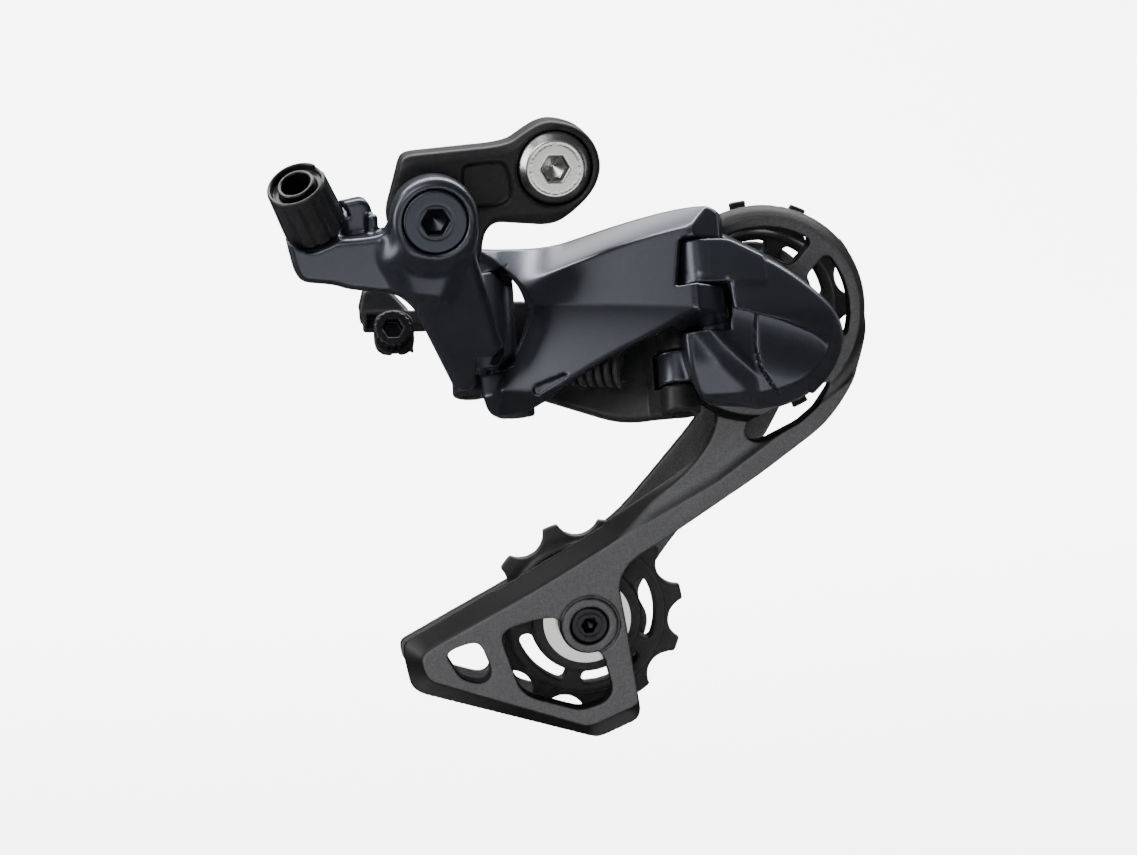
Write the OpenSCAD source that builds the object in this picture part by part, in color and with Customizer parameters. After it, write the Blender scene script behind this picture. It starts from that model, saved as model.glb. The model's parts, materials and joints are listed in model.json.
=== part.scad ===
// Rear bicycle derailleur, short cage, direct-mount bracket link.
// Origin: axis of the hanger bolt, on the outer face of the frame's hanger.
// +X points to the front of the bicycle, +Y points inboard to the wheel, +Z points up.

/* [Mounting] */
// Radius of the hanger bolt's thread
hanger_thread_r = 5.0; // [4.5:0.1:5.2]
// Length of thread that stands out of the bracket link
hanger_thread_len = 9; // [6:0.5:12]
// Thickness of the bracket link
bracket_t = 8; // [7:0.5:9]
// Radius of the cable housing's socket in the barrel
socket_r = 3.05; // [2.6:0.05:3.1]

/* [Parallelogram] */
// Slant of the four link pins away from upright
pin_slant = 28; // [24:1:32]
// Radius of the link pins
pin_r = 1.9; // [1.5:0.1:2.1]
// Radius of the knuckles round the pins
knuckle_r = 4.4; // [4:0.1:4.6]
// Length of the coiled part of the return spring
spring_len = 15; // [12:1:17]

/* [Cage] */
// Tooth count of both pulleys
teeth = 11; // [11:1:11]
// Pitch of the chain
chain_pitch = 12.7; // [12.7:0.1:12.7]
// Clear width between the two cage plates at the pulleys
cage_gap = 8; // [7.5:0.1:8]
// Thickness of the inner cage plate
inner_plate_t = 1.6; // [1.2:0.1:2]
// Radius of the ring round the guide pulley
ring_r = 23.6; // [23:0.1:24]

/* [Hidden] */
$fn = 64;
hull_fn = 32;
fit = 0.05;        // running clearance on a radius
gap = 0.3;         // face clearance between moving pieces
eps = 0.01;

// places in the XZ plane
pivot = [-25.4, -9.2];          // bracket link to rear body
p_axis = [42.5, -33.2];         // front body to cage
guide = [46.1, -34.7];
tension = [9.1, -102.5];
mid_y = 11.5;                   // middle plane of both pulleys
plate_y = mid_y - cage_gap / 2; // inboard face of the outer cage plate
inner_y = mid_y + cage_gap / 2; // outboard face of the inner cage plate
cage_front = 3.6;
p_front = -15.5;
p_back = 3.0;
seal_r = 12.8;
// the cage's stop pin and its groove in the front body
stop_r = 1.4;
stop_circle_r = 15.7;
stop_angle = 228;
cage_travel = 95;
stop_at = p_axis + stop_circle_r * [cos(stop_angle), sin(stop_angle)];
ring_front = -16;
ring_back = -8.4;

// pin frame: origin on the rear outer pin, x forward, y along the swing, z up the pin
pin_origin = [-10.7, 9, -38.2];
link_x = 41.7;
link_y = -22.6;
link_angle = atan2(link_y, link_x);
link_len = norm([link_x, link_y]);
spread = [-4.4, 13];            // outer pin line to inner pin line
front_outer = [link_x, link_y];
rear_inner = spread;
front_inner = front_outer + spread;
ear_r = 5.4;
// ranges up the pins: each knuckle and the two ears round it
rear_outer_s = [-16.5, -8.8, -8.5, 13, 13.3, 20];
front_outer_s = [-3.9, 1.9, 2.2, 11.6, 11.9, 19.6];
rear_inner_s = [-10, -4.3, -4, 6, 6.3, 10];
front_inner_s = [-21.3, -15.6, -15.3, -8.3, -8, -5];
wall_in = 4.8;
wall_out = 6.8;
spring_r = 4.4;
spring_wire = 0.55;
spring_start = [11.5, -4.9, -8.2];
spring_end_dir = [18, -6.6, -3.4];

// barrel adjuster
barrel_base = [-49, -6.3, -11.4];
barrel_tilt = 38;
barrel_heading = 237;
barrel_len = 13;
barrel_r = 6.5;

pitch_r = chain_pitch / 2 / sin(180 / teeth);
gullet_r = 4.9;
root_r = 18.6;
guide_tip_r = 24;
tension_tip_r = 21.2;
tooth_t = 2.2;
bolt_r = 2.5;

// ---------- placing helpers ----------
// extrudes an outline drawn in x and z from y0 to y1
module slab(y0, y1) {
    translate([0, y1, 0]) rotate([90, 0, 0]) linear_extrude(y1 - y0) children();
}
// cylinder along Y
module rod(p, y0, y1, r, r_end = -1, fn = 64) {
    translate([p[0], y1, p[1]]) rotate([90, 0, 0])
        cylinder(r1 = r_end < 0 ? r : r_end, r2 = r, h = y1 - y0, $fn = fn);
}
module in_pin_frame() {
    translate(pin_origin) rotate([-pin_slant, 0, 0]) children();
}
// cylinder up a pin line, in the pin frame
module post(p, s0, s1, r, fn = 64) {
    translate([p[0], p[1], s0]) cylinder(r = r, h = s1 - s0, $fn = fn);
}
// frame that lies along the link: x from rear pin to front pin
module along_link(p) {
    translate([p[0], p[1], 0]) rotate([0, 0, link_angle]) children();
}
module in_barrel_frame() {
    translate(barrel_base) rotate([0, barrel_tilt, barrel_heading]) children();
}
// pie slice of a disc, from angle a0 to a1 by way of their middle
module sector(r, a0, a1) {
    m = (a0 + a1) / 2;
    intersection() {
        circle(r = r);
        polygon([[0, 0], for (a = [a0, (a0 + m) / 2, m, (m + a1) / 2, a1]) 1.6 * r * [cos(a), sin(a)]]);
    }
}
// hexagon socket, across corners radius r, cut along Y from y0
module hex_socket(p, y0, depth, r) {
    translate([0, y0 + depth, 0]) rotate([90, 0, 0]) linear_extrude(depth + 1)
        translate(p) circle(r = r, $fn = 6);
}
// a round wire wound into a coil up Z
module coil(r, wire, pitch, turns, steps = 18, sides = 8) {
    rings = steps * turns;
    points = [for (i = [0:rings]) for (k = [0:sides - 1])
        let (a = 360 * i / steps, b = 360 * k / sides, q = r + wire * cos(b))
            [q * cos(a), q * sin(a), pitch * i / steps + wire * sin(b)]];
    faces = concat(
        [[for (k = [0:sides - 1]) k]],
        [for (i = [0:rings - 1]) for (k = [0:sides - 1])
            [i * sides + k, (i + 1) * sides + k, (i + 1) * sides + (k + 1) % sides, i * sides + (k + 1) % sides]],
        [[for (k = [sides - 1:-1:0]) rings * sides + k]]);
    polyhedron(points, faces, convexity = 10);
}

// ---------- hanger bolt and bracket link ----------
head_back = -5.4;
module hanger_bolt() {
    color("silver") difference() {
        union() {
            rod([0, 0], 0, hanger_thread_len, hanger_thread_r);
            rod([0, 0], head_back, -1.35, 5.5);
            rod([0, 0], -1.35, -0.25, 4.8);
            rod([0, 0], -0.25, 0, 5.5);
            rod([0, 0], -7.2, head_back, 7.6);
            rod([0, 0], -8.5, -7.2, 5.9, 7.6);
        }
        hex_socket([0, 0], -8.5, 4.5, 2.9);
    }
}
module hanger_circlip() {
    color("dimgray") difference() {
        rod([0, 0], -1.3, -0.3, 6.5);
        rod([0, 0], -1.4, -0.2, 4.85);
        slab(-2, 1) polygon([[0, 0], [3, -9], [-3, -9]]);
    }
}
module bracket_outline() {
    polygon([[-33.2, -3.9], [-31.6, 2.7], [-30, 3.4], [-9.8, 5.1], [-5.6, 7.9], [0, 9.6], [8, 0],
        [4, -9.2], [1, -11.4], [-2, -12], [-12.6, -11.4], [-15, -14.4], [-16, -22.6], [-20, -22.6],
        [-20, -16.8], [-30, -16.8]]);
}
module bracket_link() {
    color("#1c1c1c") difference() {
        union() {
            slab(-bracket_t, 0) bracket_outline();
            rod([0, 0], -bracket_t, 0, 9.8);
            rod(pivot, -bracket_t, 0, 9.3);
        }
        rod([0, 0], -bracket_t - 1, 1, 5.5 + fit);
        rod([0, 0], -bracket_t - 1, head_back, 7.9);
        rod([0, 0], -1.8, 1, 6.9);
        rod(pivot, -bracket_t - 1, -0.8, 4.0);
        slab(-bracket_t - 1, -bracket_t + 2) translate([-19, -7.6]) square([9, 9]);
    }
}
module pivot_bolt() {
    color("#26272c") difference() {
        union() {
            rod(pivot, ring_front, -13.2, 6.5);
            rod(pivot, -13.2, -8, 4.5);
            rod(pivot, -8, -0.8, 4.0);
        }
        hex_socket(pivot, ring_front, 4.5, 2.9);
    }
}
module pivot_washer() {
    color("gray") difference() {
        rod(pivot, -8.25, -8, 8.4);
        rod(pivot, -8.5, -7.5, 4.5);
    }
}
module pivot_bush() {
    color("darkgoldenrod") difference() {
        rod(pivot, -13.1, ring_back, 5.5);
        rod(pivot, -14, -8, 4.5 + fit);
    }
}

// ---------- rear body ----------
barrel_seat = 0.6;
screw_s = [-1.5, 3.4];
module rear_body() {
    color("#343641") difference() {
        union() {
            rod(pivot, ring_front, ring_back, 9);
            // rear arm that carries the barrel
            slab(-13.4, -8.4) polygon([[-24, -2], [-34, -5.4], [-41, -9.2], [-41, -13], [-50, -12.8],
                [-55, -13.2], [-53.4, -20], [-51.6, -22], [-43, -23.2], [-34.6, -24.2], [-22, -20]]);
            slab(-10, -3) polygon([[-40, -9.6], [-44, -8], [-51, -9.6], [-54.4, -13.4], [-52.8, -19],
                [-50.8, -20.8], [-43, -21.8], [-40, -21.8]]);
            in_barrel_frame() translate([0, 0, -7]) cylinder(r = 5.6, h = 7);
            // arm down to the pins
            hull() {
                rod([-25, -17], -14.6, -9, 7.2, fn = hull_fn);
                rod([-21, -29], -9.6, 0.5, 5, fn = hull_fn);
            }
            hull() {
                rod([-20.6, -29.3], -9.2, 0.2, 4.7, fn = hull_fn);
                in_pin_frame() post([-3.6, -3.6], rear_outer_s[2] + 0.1, 10, 4.4, hull_fn);
                in_pin_frame() post([0, 0], rear_outer_s[2] + 0.1, rear_outer_s[3] - 0.1, 4.3, hull_fn);
            }
            in_pin_frame() {
                post([0, 0], rear_outer_s[2], rear_outer_s[3], knuckle_r);
                translate([0, 0, rear_inner_s[2]]) linear_extrude(rear_inner_s[3] - rear_inner_s[2])
                    polygon([[-4.2, 0], [4.2, 0], [rear_inner[0] + 2.6, rear_inner[1]], [rear_inner[0] - 4.2, rear_inner[1]]]);
                post(rear_inner, rear_inner_s[2], rear_inner_s[3], 4.2);
            }
            // lug of the B-tension screw
            slab(-9.4, -1.4) polygon([[-34.4, -16.4], [-30, -16.4], [-26.2, -19], [-24, -26], [-28, -29], [-34.4, -24]]);
        }
        rod(pivot, ring_front - 1, -13.1, 6.5 + 0.2);
        rod(pivot, -14, -8, 5.5);
        // room for the bracket link over the whole turn
        slab(ring_back, 4) translate(pivot) {
            circle(r = 9.7);
            sector(16.8, -114, -20);
            sector(14, -30, 158);
        }
        // room for the outer link's wall and ears over its swing
        in_pin_frame() {
            for (s = [rear_outer_s[2] - 40, rear_outer_s[3]])
                translate([0, 0, s]) linear_extrude(40) union() {
                    polygon([[-5.7, -3], [-5.7, -60], [60, -60], [60, 0], [0, 0]]);
                    circle(r = 5.8);
                }
            translate([0, 0, rear_outer_s[2]]) linear_extrude(rear_outer_s[3] - rear_outer_s[2])
                polygon([[4.6, -1], [1.4, -8], [1.4, -60], [60, -60], [60, -1]]);
            post([0, 0], -30, 30, pin_r);
            post(rear_inner, -30, rear_inner_s[2] - eps, 6.4);
            post(rear_inner, rear_inner_s[3] + eps, 30, 6.4);
            post(rear_inner, -30, 30, pin_r);
            for (s = screw_s) {
                translate([-12, 6.5, s]) rotate([0, 90, 0]) cylinder(r = 1.5 + fit, h = 22);
                translate([-12, 6.5, s]) rotate([0, 90, 0]) cylinder(r = 2.3, h = 5.1);
            }
        }
        translate([-36, b_screw_y, b_screw_z]) rotate([0, 90, 0]) cylinder(r = b_screw_r + fit, h = 18);
        in_barrel_frame() {
            translate([0, 0, -20]) cylinder(r = 3, h = 21);
            translate([0, 0, -1.6]) cylinder(r = 4.9, h = 3);
            cylinder(r = 7.2, h = 20);
        }
    }
}
b_screw_r = 1.75;
b_screw_y = -4.4;
b_screw_z = pivot[1] - 11.3;
module b_tension_screw() {
    color("silver") difference() {
        translate([-38.2, b_screw_y, b_screw_z]) rotate([0, 90, 0]) union() {
            cylinder(r = b_screw_r, h = 17.6);
            cylinder(r = 3, h = 2.4);
        }
        translate([-38.3, b_screw_y, b_screw_z]) rotate([0, 90, 0]) cylinder(r = 1.1, h = 1.6, $fn = 6);
    }
}
module limit_screw(s) {
    color("#222222") in_pin_frame() difference() {
        union() {
            translate([-8.6, 6.5, s]) rotate([0, 90, 0]) cylinder(r = 1.5, h = 11.4);
            translate([-8.8, 6.5, s]) rotate([0, 90, 0]) cylinder(r = 2.2, h = 1.8);
        }
        translate([-8.9, 6.5, s]) rotate([0, 90, 0]) cylinder(r = 0.9, h = 1.3, $fn = 6);
    }
}
module limit_screw_high() {
    limit_screw(screw_s[1]);
}
module limit_screw_low() {
    limit_screw(screw_s[0]);
}

// ---------- barrel adjuster ----------
module barrel_knob() {
    color("#151515") in_barrel_frame() difference() {
        translate([0, 0, barrel_seat]) cylinder(r = barrel_r, h = barrel_len - barrel_seat);
        translate([0, 0, -1]) cylinder(r = 3.9, h = 20);
        translate([0, 0, barrel_seat - 1]) cylinder(r = 5.4, h = 2.6);
        for (i = [0:11])
            rotate(30 * i) translate([barrel_r + 0.5, 0, -1]) cylinder(r = 1, h = barrel_len - 1);
    }
}
module barrel_screw() {
    color("dimgray") in_barrel_frame() difference() {
        union() {
            translate([0, 0, -10]) cylinder(r = 3 - fit, h = 12.2);
            translate([0, 0, 2.2]) cylinder(r = 3.9, h = barrel_len - 2.2);
        }
        translate([0, 0, -11]) cylinder(r = 1.1, h = 20);
        translate([0, 0, 4]) cylinder(r = socket_r, h = 20);
    }
}
module barrel_spring() {
    color("gray") in_barrel_frame() translate([0, 0, -1.25]) coil(4.3, 0.35, 0.85, 3.5);
}

// ---------- links ----------
module outer_link() {
    color("#343641") in_pin_frame() difference() {
        intersection() {
            translate([0, 0, -18]) linear_extrude(40) union() {
                circle(r = ear_r);
                translate(front_outer) circle(r = ear_r);
                along_link([0, 0]) polygon([[-1.6, -wall_out], [link_len + 1.6, -wall_out], [link_len + 3, -4],
                    [link_len, 1.5], [34, 1.5], [28, 4.6], [0, 4.6], [-3, -4]]);
            }
            // side shape: the top edge and the slanted bottom edge
            translate([0, 20, 0]) rotate([90, 0, 0]) linear_extrude(60)
                polygon([[-7, rear_outer_s[0]], [5, rear_outer_s[0]], [33, front_outer_s[0] + 1.4],
                    [48, front_outer_s[0]], [48, front_outer_s[5]], [24, 20.6], [-7, 20]]);
        }
        // channel between the wall and the open inboard side
        translate([0, 0, -30]) linear_extrude(30 + 17.6) intersection() {
            along_link([0, 0]) polygon([[6.4, -wall_in], [link_len - 6.6, -wall_in], [link_len - 6.6, 12], [6.4, 12]]);
            square(200, center = true);
        }
        // room for the knuckles
        translate([0, 0, rear_outer_s[1]]) linear_extrude(rear_outer_s[4] - rear_outer_s[1]) along_link([0, 0])
            polygon([[-9, -12], [6, -12], [6.4, 0], [6.4, 12], [-9, 12]]);
        translate([0, 0, front_outer_s[1]]) linear_extrude(front_outer_s[4] - front_outer_s[1])
            along_link([0, 0]) polygon([[link_len - 6, -12], [link_len + 9, -12], [link_len + 9, 12], [link_len - 6, 12]]);
        post([0, 0], -30, 30, pin_r + fit);
        post(front_outer, -30, 30, pin_r);
    }
}
module inner_link() {
    color("#202124") in_pin_frame() difference() {
        union() {
            intersection() {
                translate([0, 0, -30]) linear_extrude(60) union() {
                    translate(rear_inner) circle(r = 4.2);
                    translate(front_inner) circle(r = 4.2);
                    along_link(rear_inner) polygon([[0, -3.8], [7, -0.6], [link_len - 7, -0.6], [link_len, -4],
                        [link_len, 4], [link_len - 7, 2.2], [7, 2.4], [0, 4]]);
                }
                translate([0, 30, 0]) rotate([90, 0, 0]) linear_extrude(60)
                    polygon([[-9, rear_inner_s[0]], [4, rear_inner_s[0]], [26, front_inner_s[0]], [42, front_inner_s[0]],
                        [42, front_inner_s[5]], [28, front_inner_s[5]], [6, rear_inner_s[5]], [-9, rear_inner_s[5]]]);
            }
            // arm to the cable clamp
            translate([0, 0, rear_inner_s[4]]) linear_extrude(rear_inner_s[5] - rear_inner_s[4])
                polygon([[-4, 9], [-13, 13], [-27, 13], [-27, 18], [-14, 19], [-4, 17]]);
            translate([-27, 13, 0.4]) cube([12, 5, rear_inner_s[5] - 0.4]);
        }
        translate([0, 0, rear_inner_s[1]]) linear_extrude(rear_inner_s[4] - rear_inner_s[1]) along_link(rear_inner)
            polygon([[-6, -8], [6.6, -8], [6.6, 8], [-6, 8]]);
        translate([0, 0, front_inner_s[1]]) linear_extrude(front_inner_s[4] - front_inner_s[1]) along_link(rear_inner)
            polygon([[link_len - 6.6, -8], [link_len + 9, -8], [link_len + 9, 8], [link_len - 6.6, 8]]);
        post(rear_inner, -30, 30, pin_r + fit);
        post(front_inner, -30, 30, pin_r);
        translate([-21, 30, 4.6]) rotate([90, 0, 0]) cylinder(r = 2.5, h = 30);
    }
}
module link_pin(p, s0, s1) {
    color("silver") in_pin_frame() post(p, s0, s1, pin_r);
}
module rear_outer_pin() {
    link_pin([0, 0], rear_outer_s[0] + 2, rear_outer_s[5] - 3);
}
module rear_inner_pin() {
    link_pin(rear_inner, rear_inner_s[0] + 0.3, rear_inner_s[5] - 0.3);
}
module front_outer_pin() {
    link_pin(front_outer, front_outer_s[0] + 0.8, front_outer_s[5] - 2.2);
}
module front_inner_pin() {
    link_pin(front_inner, front_inner_s[0], front_inner_s[5]);
}
module cable_bolt() {
    color("silver") in_pin_frame() translate([-21, 18, 4.6]) rotate([90, 0, 0]) difference() {
        union() {
            cylinder(r = 2.5 - fit, h = 6.6);
            translate([0, 0, 6.6]) cylinder(r = 4, h = 3);
        }
        translate([0, 0, 7.4]) cylinder(r = 2.3, h = 5, $fn = 6);
    }
}
module cable_plate() {
    color("gray") in_pin_frame() difference() {
        translate([-26.2, 11.4, 0.6]) cube([10.2, 1.6, 8.6]);
        translate([-21, 30, 4.6]) rotate([90, 0, 0]) cylinder(r = 2.5, h = 30);
    }
}
module return_spring() {
    v = spring_end_dir;
    color("#1a1a1a") in_pin_frame() translate(spring_start)
        rotate([0, acos(v[2] / norm(v)), atan2(v[1], v[0])])
            coil(spring_r - spring_wire, spring_wire, spring_len / 11, 11, 16);
}

// ---------- front body ----------
// teardrop outline: a disc cut by the long upper slope, with the pin corner at the upper left
module front_outline() {
    intersection() {
        translate([45, -36.2]) circle(r = 16.2);
        polygon([[20, -8], [35, -15.2], [41, -17.9], [47.5, -21.3], [54, -26], [58.5, -30.4], [60.8, -35],
            [64, -42], [64, -60], [20, -60]]);
    }
    polygon([[28, -15.2], [35, -15.2], [41, -17.9], [47.5, -21.3], [50, -36], [44, -52.3], [38, -51.8],
        [30, -50.2], [27.4, -44], [28, -30]]);
}
module front_slice(y0, y1, k) {
    slab(y0, y1) translate([44, -35]) scale([k, k]) translate([-44, 35]) front_outline();
}
module front_body() {
    color("#343641") difference() {
        union() {
            front_slice(-10.6, p_back, 1);
            front_slice(-13.2, -10, 0.93);
            front_slice(-14.6, -13, 0.82);
            front_slice(p_front, -14, 0.66);
            in_pin_frame() {
                post(front_outer, front_outer_s[2], front_outer_s[3], 5.2);
                translate([0, 0, front_outer_s[2]]) linear_extrude(front_outer_s[3] - front_outer_s[2])
                    polygon([[link_x, link_y - 5.2], [link_x + 12, link_y - 5], [link_x + 12, link_y + 6], [link_x, link_y + 5.2]]);
                post(front_inner, front_inner_s[2], front_inner_s[3], knuckle_r);
                translate([0, 0, front_inner_s[2]]) linear_extrude(front_inner_s[3] - front_inner_s[2])
                    polygon([front_inner + [0, -4.4], front_inner + [13, -4.4], front_inner + [13, 4], front_inner + [0, 4.4]]);
            }
        }
        // room for the cage plate
        rod(p_axis, p_back, 40, 40);
        // room for the outer link over its swing
        in_pin_frame() {
            for (s = [front_outer_s[2] - 60, front_outer_s[3]])
                translate([0, 0, s]) linear_extrude(60) translate(front_outer) union() {
                    circle(r = 5.8);
                    sector(7.3, -116, -40);
                }
            translate([0, 0, -60]) linear_extrude(60 + front_outer_s[2] - gap)
                polygon([front_outer + [0, -7.2], front_outer + [-30, -7.2], front_outer + [-30, 6], front_outer + [0, 6]]);
            translate([0, 0, front_outer_s[3] + gap]) linear_extrude(60)
                polygon([front_outer + [0, -7.2], front_outer + [-30, -7.2], front_outer + [-30, 6], front_outer + [0, 6]]);
            post(front_outer, -30, 30, pin_r + fit);
            post(front_inner, -40, front_inner_s[2] - eps, 5.6);
            post(front_inner, front_inner_s[3] + eps, 4, 5.6);
            translate([0, 0, -60]) linear_extrude(60 + front_inner_s[2] - eps)
                polygon([front_inner + [0, -5.6], front_inner + [-30, -7.2], front_inner + [-30, 30], front_inner + [0, 5.6]]);
            post(front_inner, -40, 4, pin_r + 0.3);
        }
        // axle bore and spring chamber
        rod(p_axis, -9.4, 5, 5);
        difference() {
            rod(p_axis, -5.5, 5, 9.3);
            rod(p_axis, -6, 6, 6.2);
        }
        rod(p_axis, p_back - 0.9, 5, seal_r);
        // groove that the cage's stop pin runs in
        slab(0, 5) translate(p_axis) difference() {
            sector(stop_circle_r + stop_r + 0.15, stop_angle - 5.8, stop_angle + cage_travel + 6.5);
            circle(r = stop_circle_r - stop_r - 0.15);
        }
        // set screw bore
        translate([p_axis[0], -7.8, p_axis[1] - 30]) cylinder(r = 1.5, h = 30);
    }
}
module cage_axle() {
    color("silver") difference() {
        rod(p_axis, -9.2, 5.2, 4);
        difference() {
            rod(p_axis, -8.7, -6.9, 5);
            rod(p_axis, -9, -6, 3.2);
        }
    }
}
module cage_bush() {
    color("darkgoldenrod") difference() {
        rod(p_axis, -6.2, 2.6, 5);
        rod(p_axis, -14, 5, 4 + fit);
    }
}
module cage_spring() {
    color("gray") translate([p_axis[0], 1.7, p_axis[1]]) rotate([90, 0, 0]) coil(7.75, 0.95, 2.1, 2.75, 20);
}
module cage_seal() {
    color("black") difference() {
        rod(p_axis, p_back - 0.9, p_back - 0.1, seal_r);
        rod(p_axis, 0, 5, seal_r - 1.5);
    }
}
module axle_screw() {
    color("dimgray") difference() {
        union() {
            translate([p_axis[0], -7.8, p_axis[1] - 16]) cylinder(r = 1.5, h = 11.6);
            translate([p_axis[0], -7.8, p_axis[1] - 16]) cylinder(r = 0.8, h = 12.6);
        }
        translate([p_axis[0], -7.8, p_axis[1] - 16.1]) cylinder(r = 0.9, h = 1.6, $fn = 6);
    }
}

// ---------- cage ----------
module stop_pin() {
    color("dimgray") rod(stop_at, 0.3, 5.2, stop_r);
}
module cage_arm_outline(back) {
    o = back ? 3 : 0;
    polygon([[38 - o / 4, -50], [38.4 - o / 3, -58], [37 - o / 3, -63], [33.4 - o / 3, -68], [29.4 - o / 3, -71.4],
        [23 - o / 3, -75.6 + o / 3], [-26 - o, -106.4 + o / 2], [-28.6 - o, -109.6], [-26.6 - o, -113.8 - o / 2],
        [9.2 + o / 3, -126.2 - o], [19.6 + o / 3, -121.6 - o / 2], [16.6 + o / 3, -101], [15.6, -94], [16.6, -90.6],
        [24, -84.6], [46, -70.1], [59.8, -59.8], [63.6, -55.2], [66.9, -49.4], [69, -43.4],
        [69.9, -37], [64, -32], [46, -44]]);
}
module big_window() {
    difference() {
        polygon([[-10.2, -104.2], [-8.8, -102.6], [-2.2, -100.6], [1.4, -100.4], [10, -108], [12.4, -109.6],
            [14.4, -117.4], [12.8, -120], [7.6, -121.8], [-4, -118.2], [-6.4, -115.8]]);
        translate(tension) circle(r = 6.4);
    }
}
module small_window() {
    polygon([[-21.8, -107.6], [-20.4, -106.6], [-16.4, -105.4], [-14.8, -106.4], [-12.8, -111.6], [-13, -113.6],
        [-15, -114.4], [-19, -113.2]]);
}
module foot_window() {
    polygon([[44.2, -58.4], [43.6, -61], [45, -62.4], [47, -62.2], [54.8, -58.6], [58.4, -55.4], [61.4, -50.6],
        [60.6, -49.8], [55, -53.6], [49, -55.6]]);
}
module outer_cage_plate() {
    color("#3a3b3c") difference() {
        union() {
            slab(cage_front, plate_y) cage_arm_outline(false);
            slab(6, 8.4) cage_arm_outline(true);
            slab(cage_front, plate_y) translate(guide) circle(r = ring_r);
            rod(p_axis, 3.3, plate_y, 12);
            rod(tension, 3.4, plate_y, 6.3);
        }
        // pulleys run inside the walls
        slab(plate_y, 20) offset_arm();
        slab(plate_y, 20) translate(tension) circle(r = 22.6);
        slab(0, 20) difference() {
            translate(guide) circle(r = 19.4);
            translate(guide) circle(r = 12.4);
            for (a = [50, 122, 194, 266, 338])
                translate(guide) rotate(a) translate([0, -2]) square([30, 4]);
        }
        slab(0, 20) big_window();
        slab(0, 20) small_window();
        slab(0, 20) foot_window();
        rod(p_axis, 0, 5.2, 4);
        rod(guide, 5.4, 20, bolt_r);
        rod(tension, 0, 20, bolt_r);
        rod(tension, 0, 4.6, 4.15);
        rod(stop_at, 0, 5.2, stop_r);
    }
}
// inside of the arm's dished back
module offset_arm() {
    translate(guide) circle(r = 27);
    polygon([[38, -52], [38, -60], [33.6, -67.6], [23, -75.2], [-24, -104], [-28, -109], [-26, -113], [10, -126.2],
        [18.8, -121.8], [15.6, -101], [14.6, -93], [16, -90], [46, -69], [60, -58], [70, -42]]);
}
module inner_cage_plate() {
    color("#2c2d2e") difference() {
        slab(inner_y, inner_y + inner_plate_t) union() {
            translate(guide) circle(r = 14);
            polygon([[34.6, -44], [35.4, -57], [33.6, -60.4], [24.2, -71.9], [15, -82.6], [-20, -101.6], [-31, -107.2],
                [-30.4, -111], [-24, -113.6], [8, -121], [17, -118], [19, -98], [31, -84], [48, -68], [59, -46], [52, -36]]);
        }
        slab(0, 40) translate([-6, -108]) rotate(-24) square([8, 9], center = true);
        rod(guide, 0, 40, bolt_r);
        rod(tension, 0, 40, bolt_r);
    }
}

// ---------- pulleys ----------
module tooth_outline(tip_r, phase) {
    difference() {
        circle(r = tip_r);
        for (i = [0:teeth - 1])
            rotate(phase + 180 / teeth + 360 / teeth * i) translate([root_r + gullet_r, 0]) circle(r = gullet_r);
    }
}
module arc_slot(r0, r1, a0, a1) {
    intersection() {
        difference() {
            circle(r = r1);
            circle(r = r0);
        }
        polygon([[0, 0], [30 * cos(a0), 30 * sin(a0)], [40 * cos((a0 + a1) / 2), 40 * sin((a0 + a1) / 2)],
            [30 * cos(a1), 30 * sin(a1)]]);
    }
}
module pulley(p, tip_r, phase, bore_r, slot0) {
    difference() {
        union() {
            slab(mid_y - tooth_t / 2, mid_y + tooth_t / 2) translate(p) tooth_outline(tip_r, phase);
            rod(p, mid_y - 1.8, mid_y + 1.8, root_r - 1);
            rod(p, mid_y - 3.4, mid_y + 3.4, 12);
        }
        slab(0, 40) translate(p) for (i = [0:4]) arc_slot(12.4, 15.4, slot0 + 72 * i, slot0 + 72 * i + 57);
        rod(p, 0, 40, bore_r);
    }
}
module guide_pulley() {
    color("#1d1d1e") pulley(guide, guide_tip_r, 2, 5, 10);
}
module tension_pulley() {
    color("#1d1d1e") pulley(tension, tension_tip_r, 14.7, 8.4, 52);
}
module tube_y(p, y0, y1, r_in, r_out) {
    difference() {
        rod(p, y0, y1, r_out);
        rod(p, y0 - 1, y1 + 1, r_in);
    }
}
module guide_bush() {
    color("white") tube_y(guide, plate_y, inner_y, bolt_r, 5 - fit);
}
module guide_caps() {
    color("silver") {
        tube_y(guide, plate_y + 0.1, mid_y - 3.6, 5, 9.6);
        tube_y(guide, mid_y + 3.6, inner_y - 0.1, 5, 9.6);
    }
}
module guide_bolt() {
    color("#222222") difference() {
        union() {
            rod(guide, 5.4, inner_y + inner_plate_t, bolt_r);
            rod(guide, inner_y + inner_plate_t, inner_y + inner_plate_t + 1.6, 4);
        }
        slab(inner_y + 1.2, 40) translate(guide) circle(r = 1.73, $fn = 6);
    }
}
module tension_bolt() {
    color("#222222") difference() {
        union() {
            rod(tension, 3.9, 4.6, 4.05);
            rod(tension, 4.6, inner_y + inner_plate_t + 0.8, bolt_r);
        }
        hex_socket(tension, 3.9, 2.4, 1.73);
    }
}
module tension_inner_race() {
    color("silver") difference() {
        tube_y(tension, plate_y, inner_y, bolt_r, 4.6);
        translate([tension[0], mid_y, tension[1]]) rotate([90, 0, 0])
            rotate_extrude() translate([5.6, 0]) circle(r = 1.25, $fn = 24);
    }
}
module tension_outer_race() {
    color("silver") difference() {
        tube_y(tension, mid_y - 2.4, mid_y + 2.4, 6.6, 8.4);
        translate([tension[0], mid_y, tension[1]]) rotate([90, 0, 0])
            rotate_extrude() translate([5.6, 0]) circle(r = 1.25, $fn = 24);
    }
}
module tension_balls() {
    color("lightgray") translate([tension[0], mid_y, tension[1]]) rotate([90, 0, 0])
        for (i = [0:9])
            rotate(36 * i) translate([5.6, 0, 0]) sphere(r = 1.2, $fn = 24);
}
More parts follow.
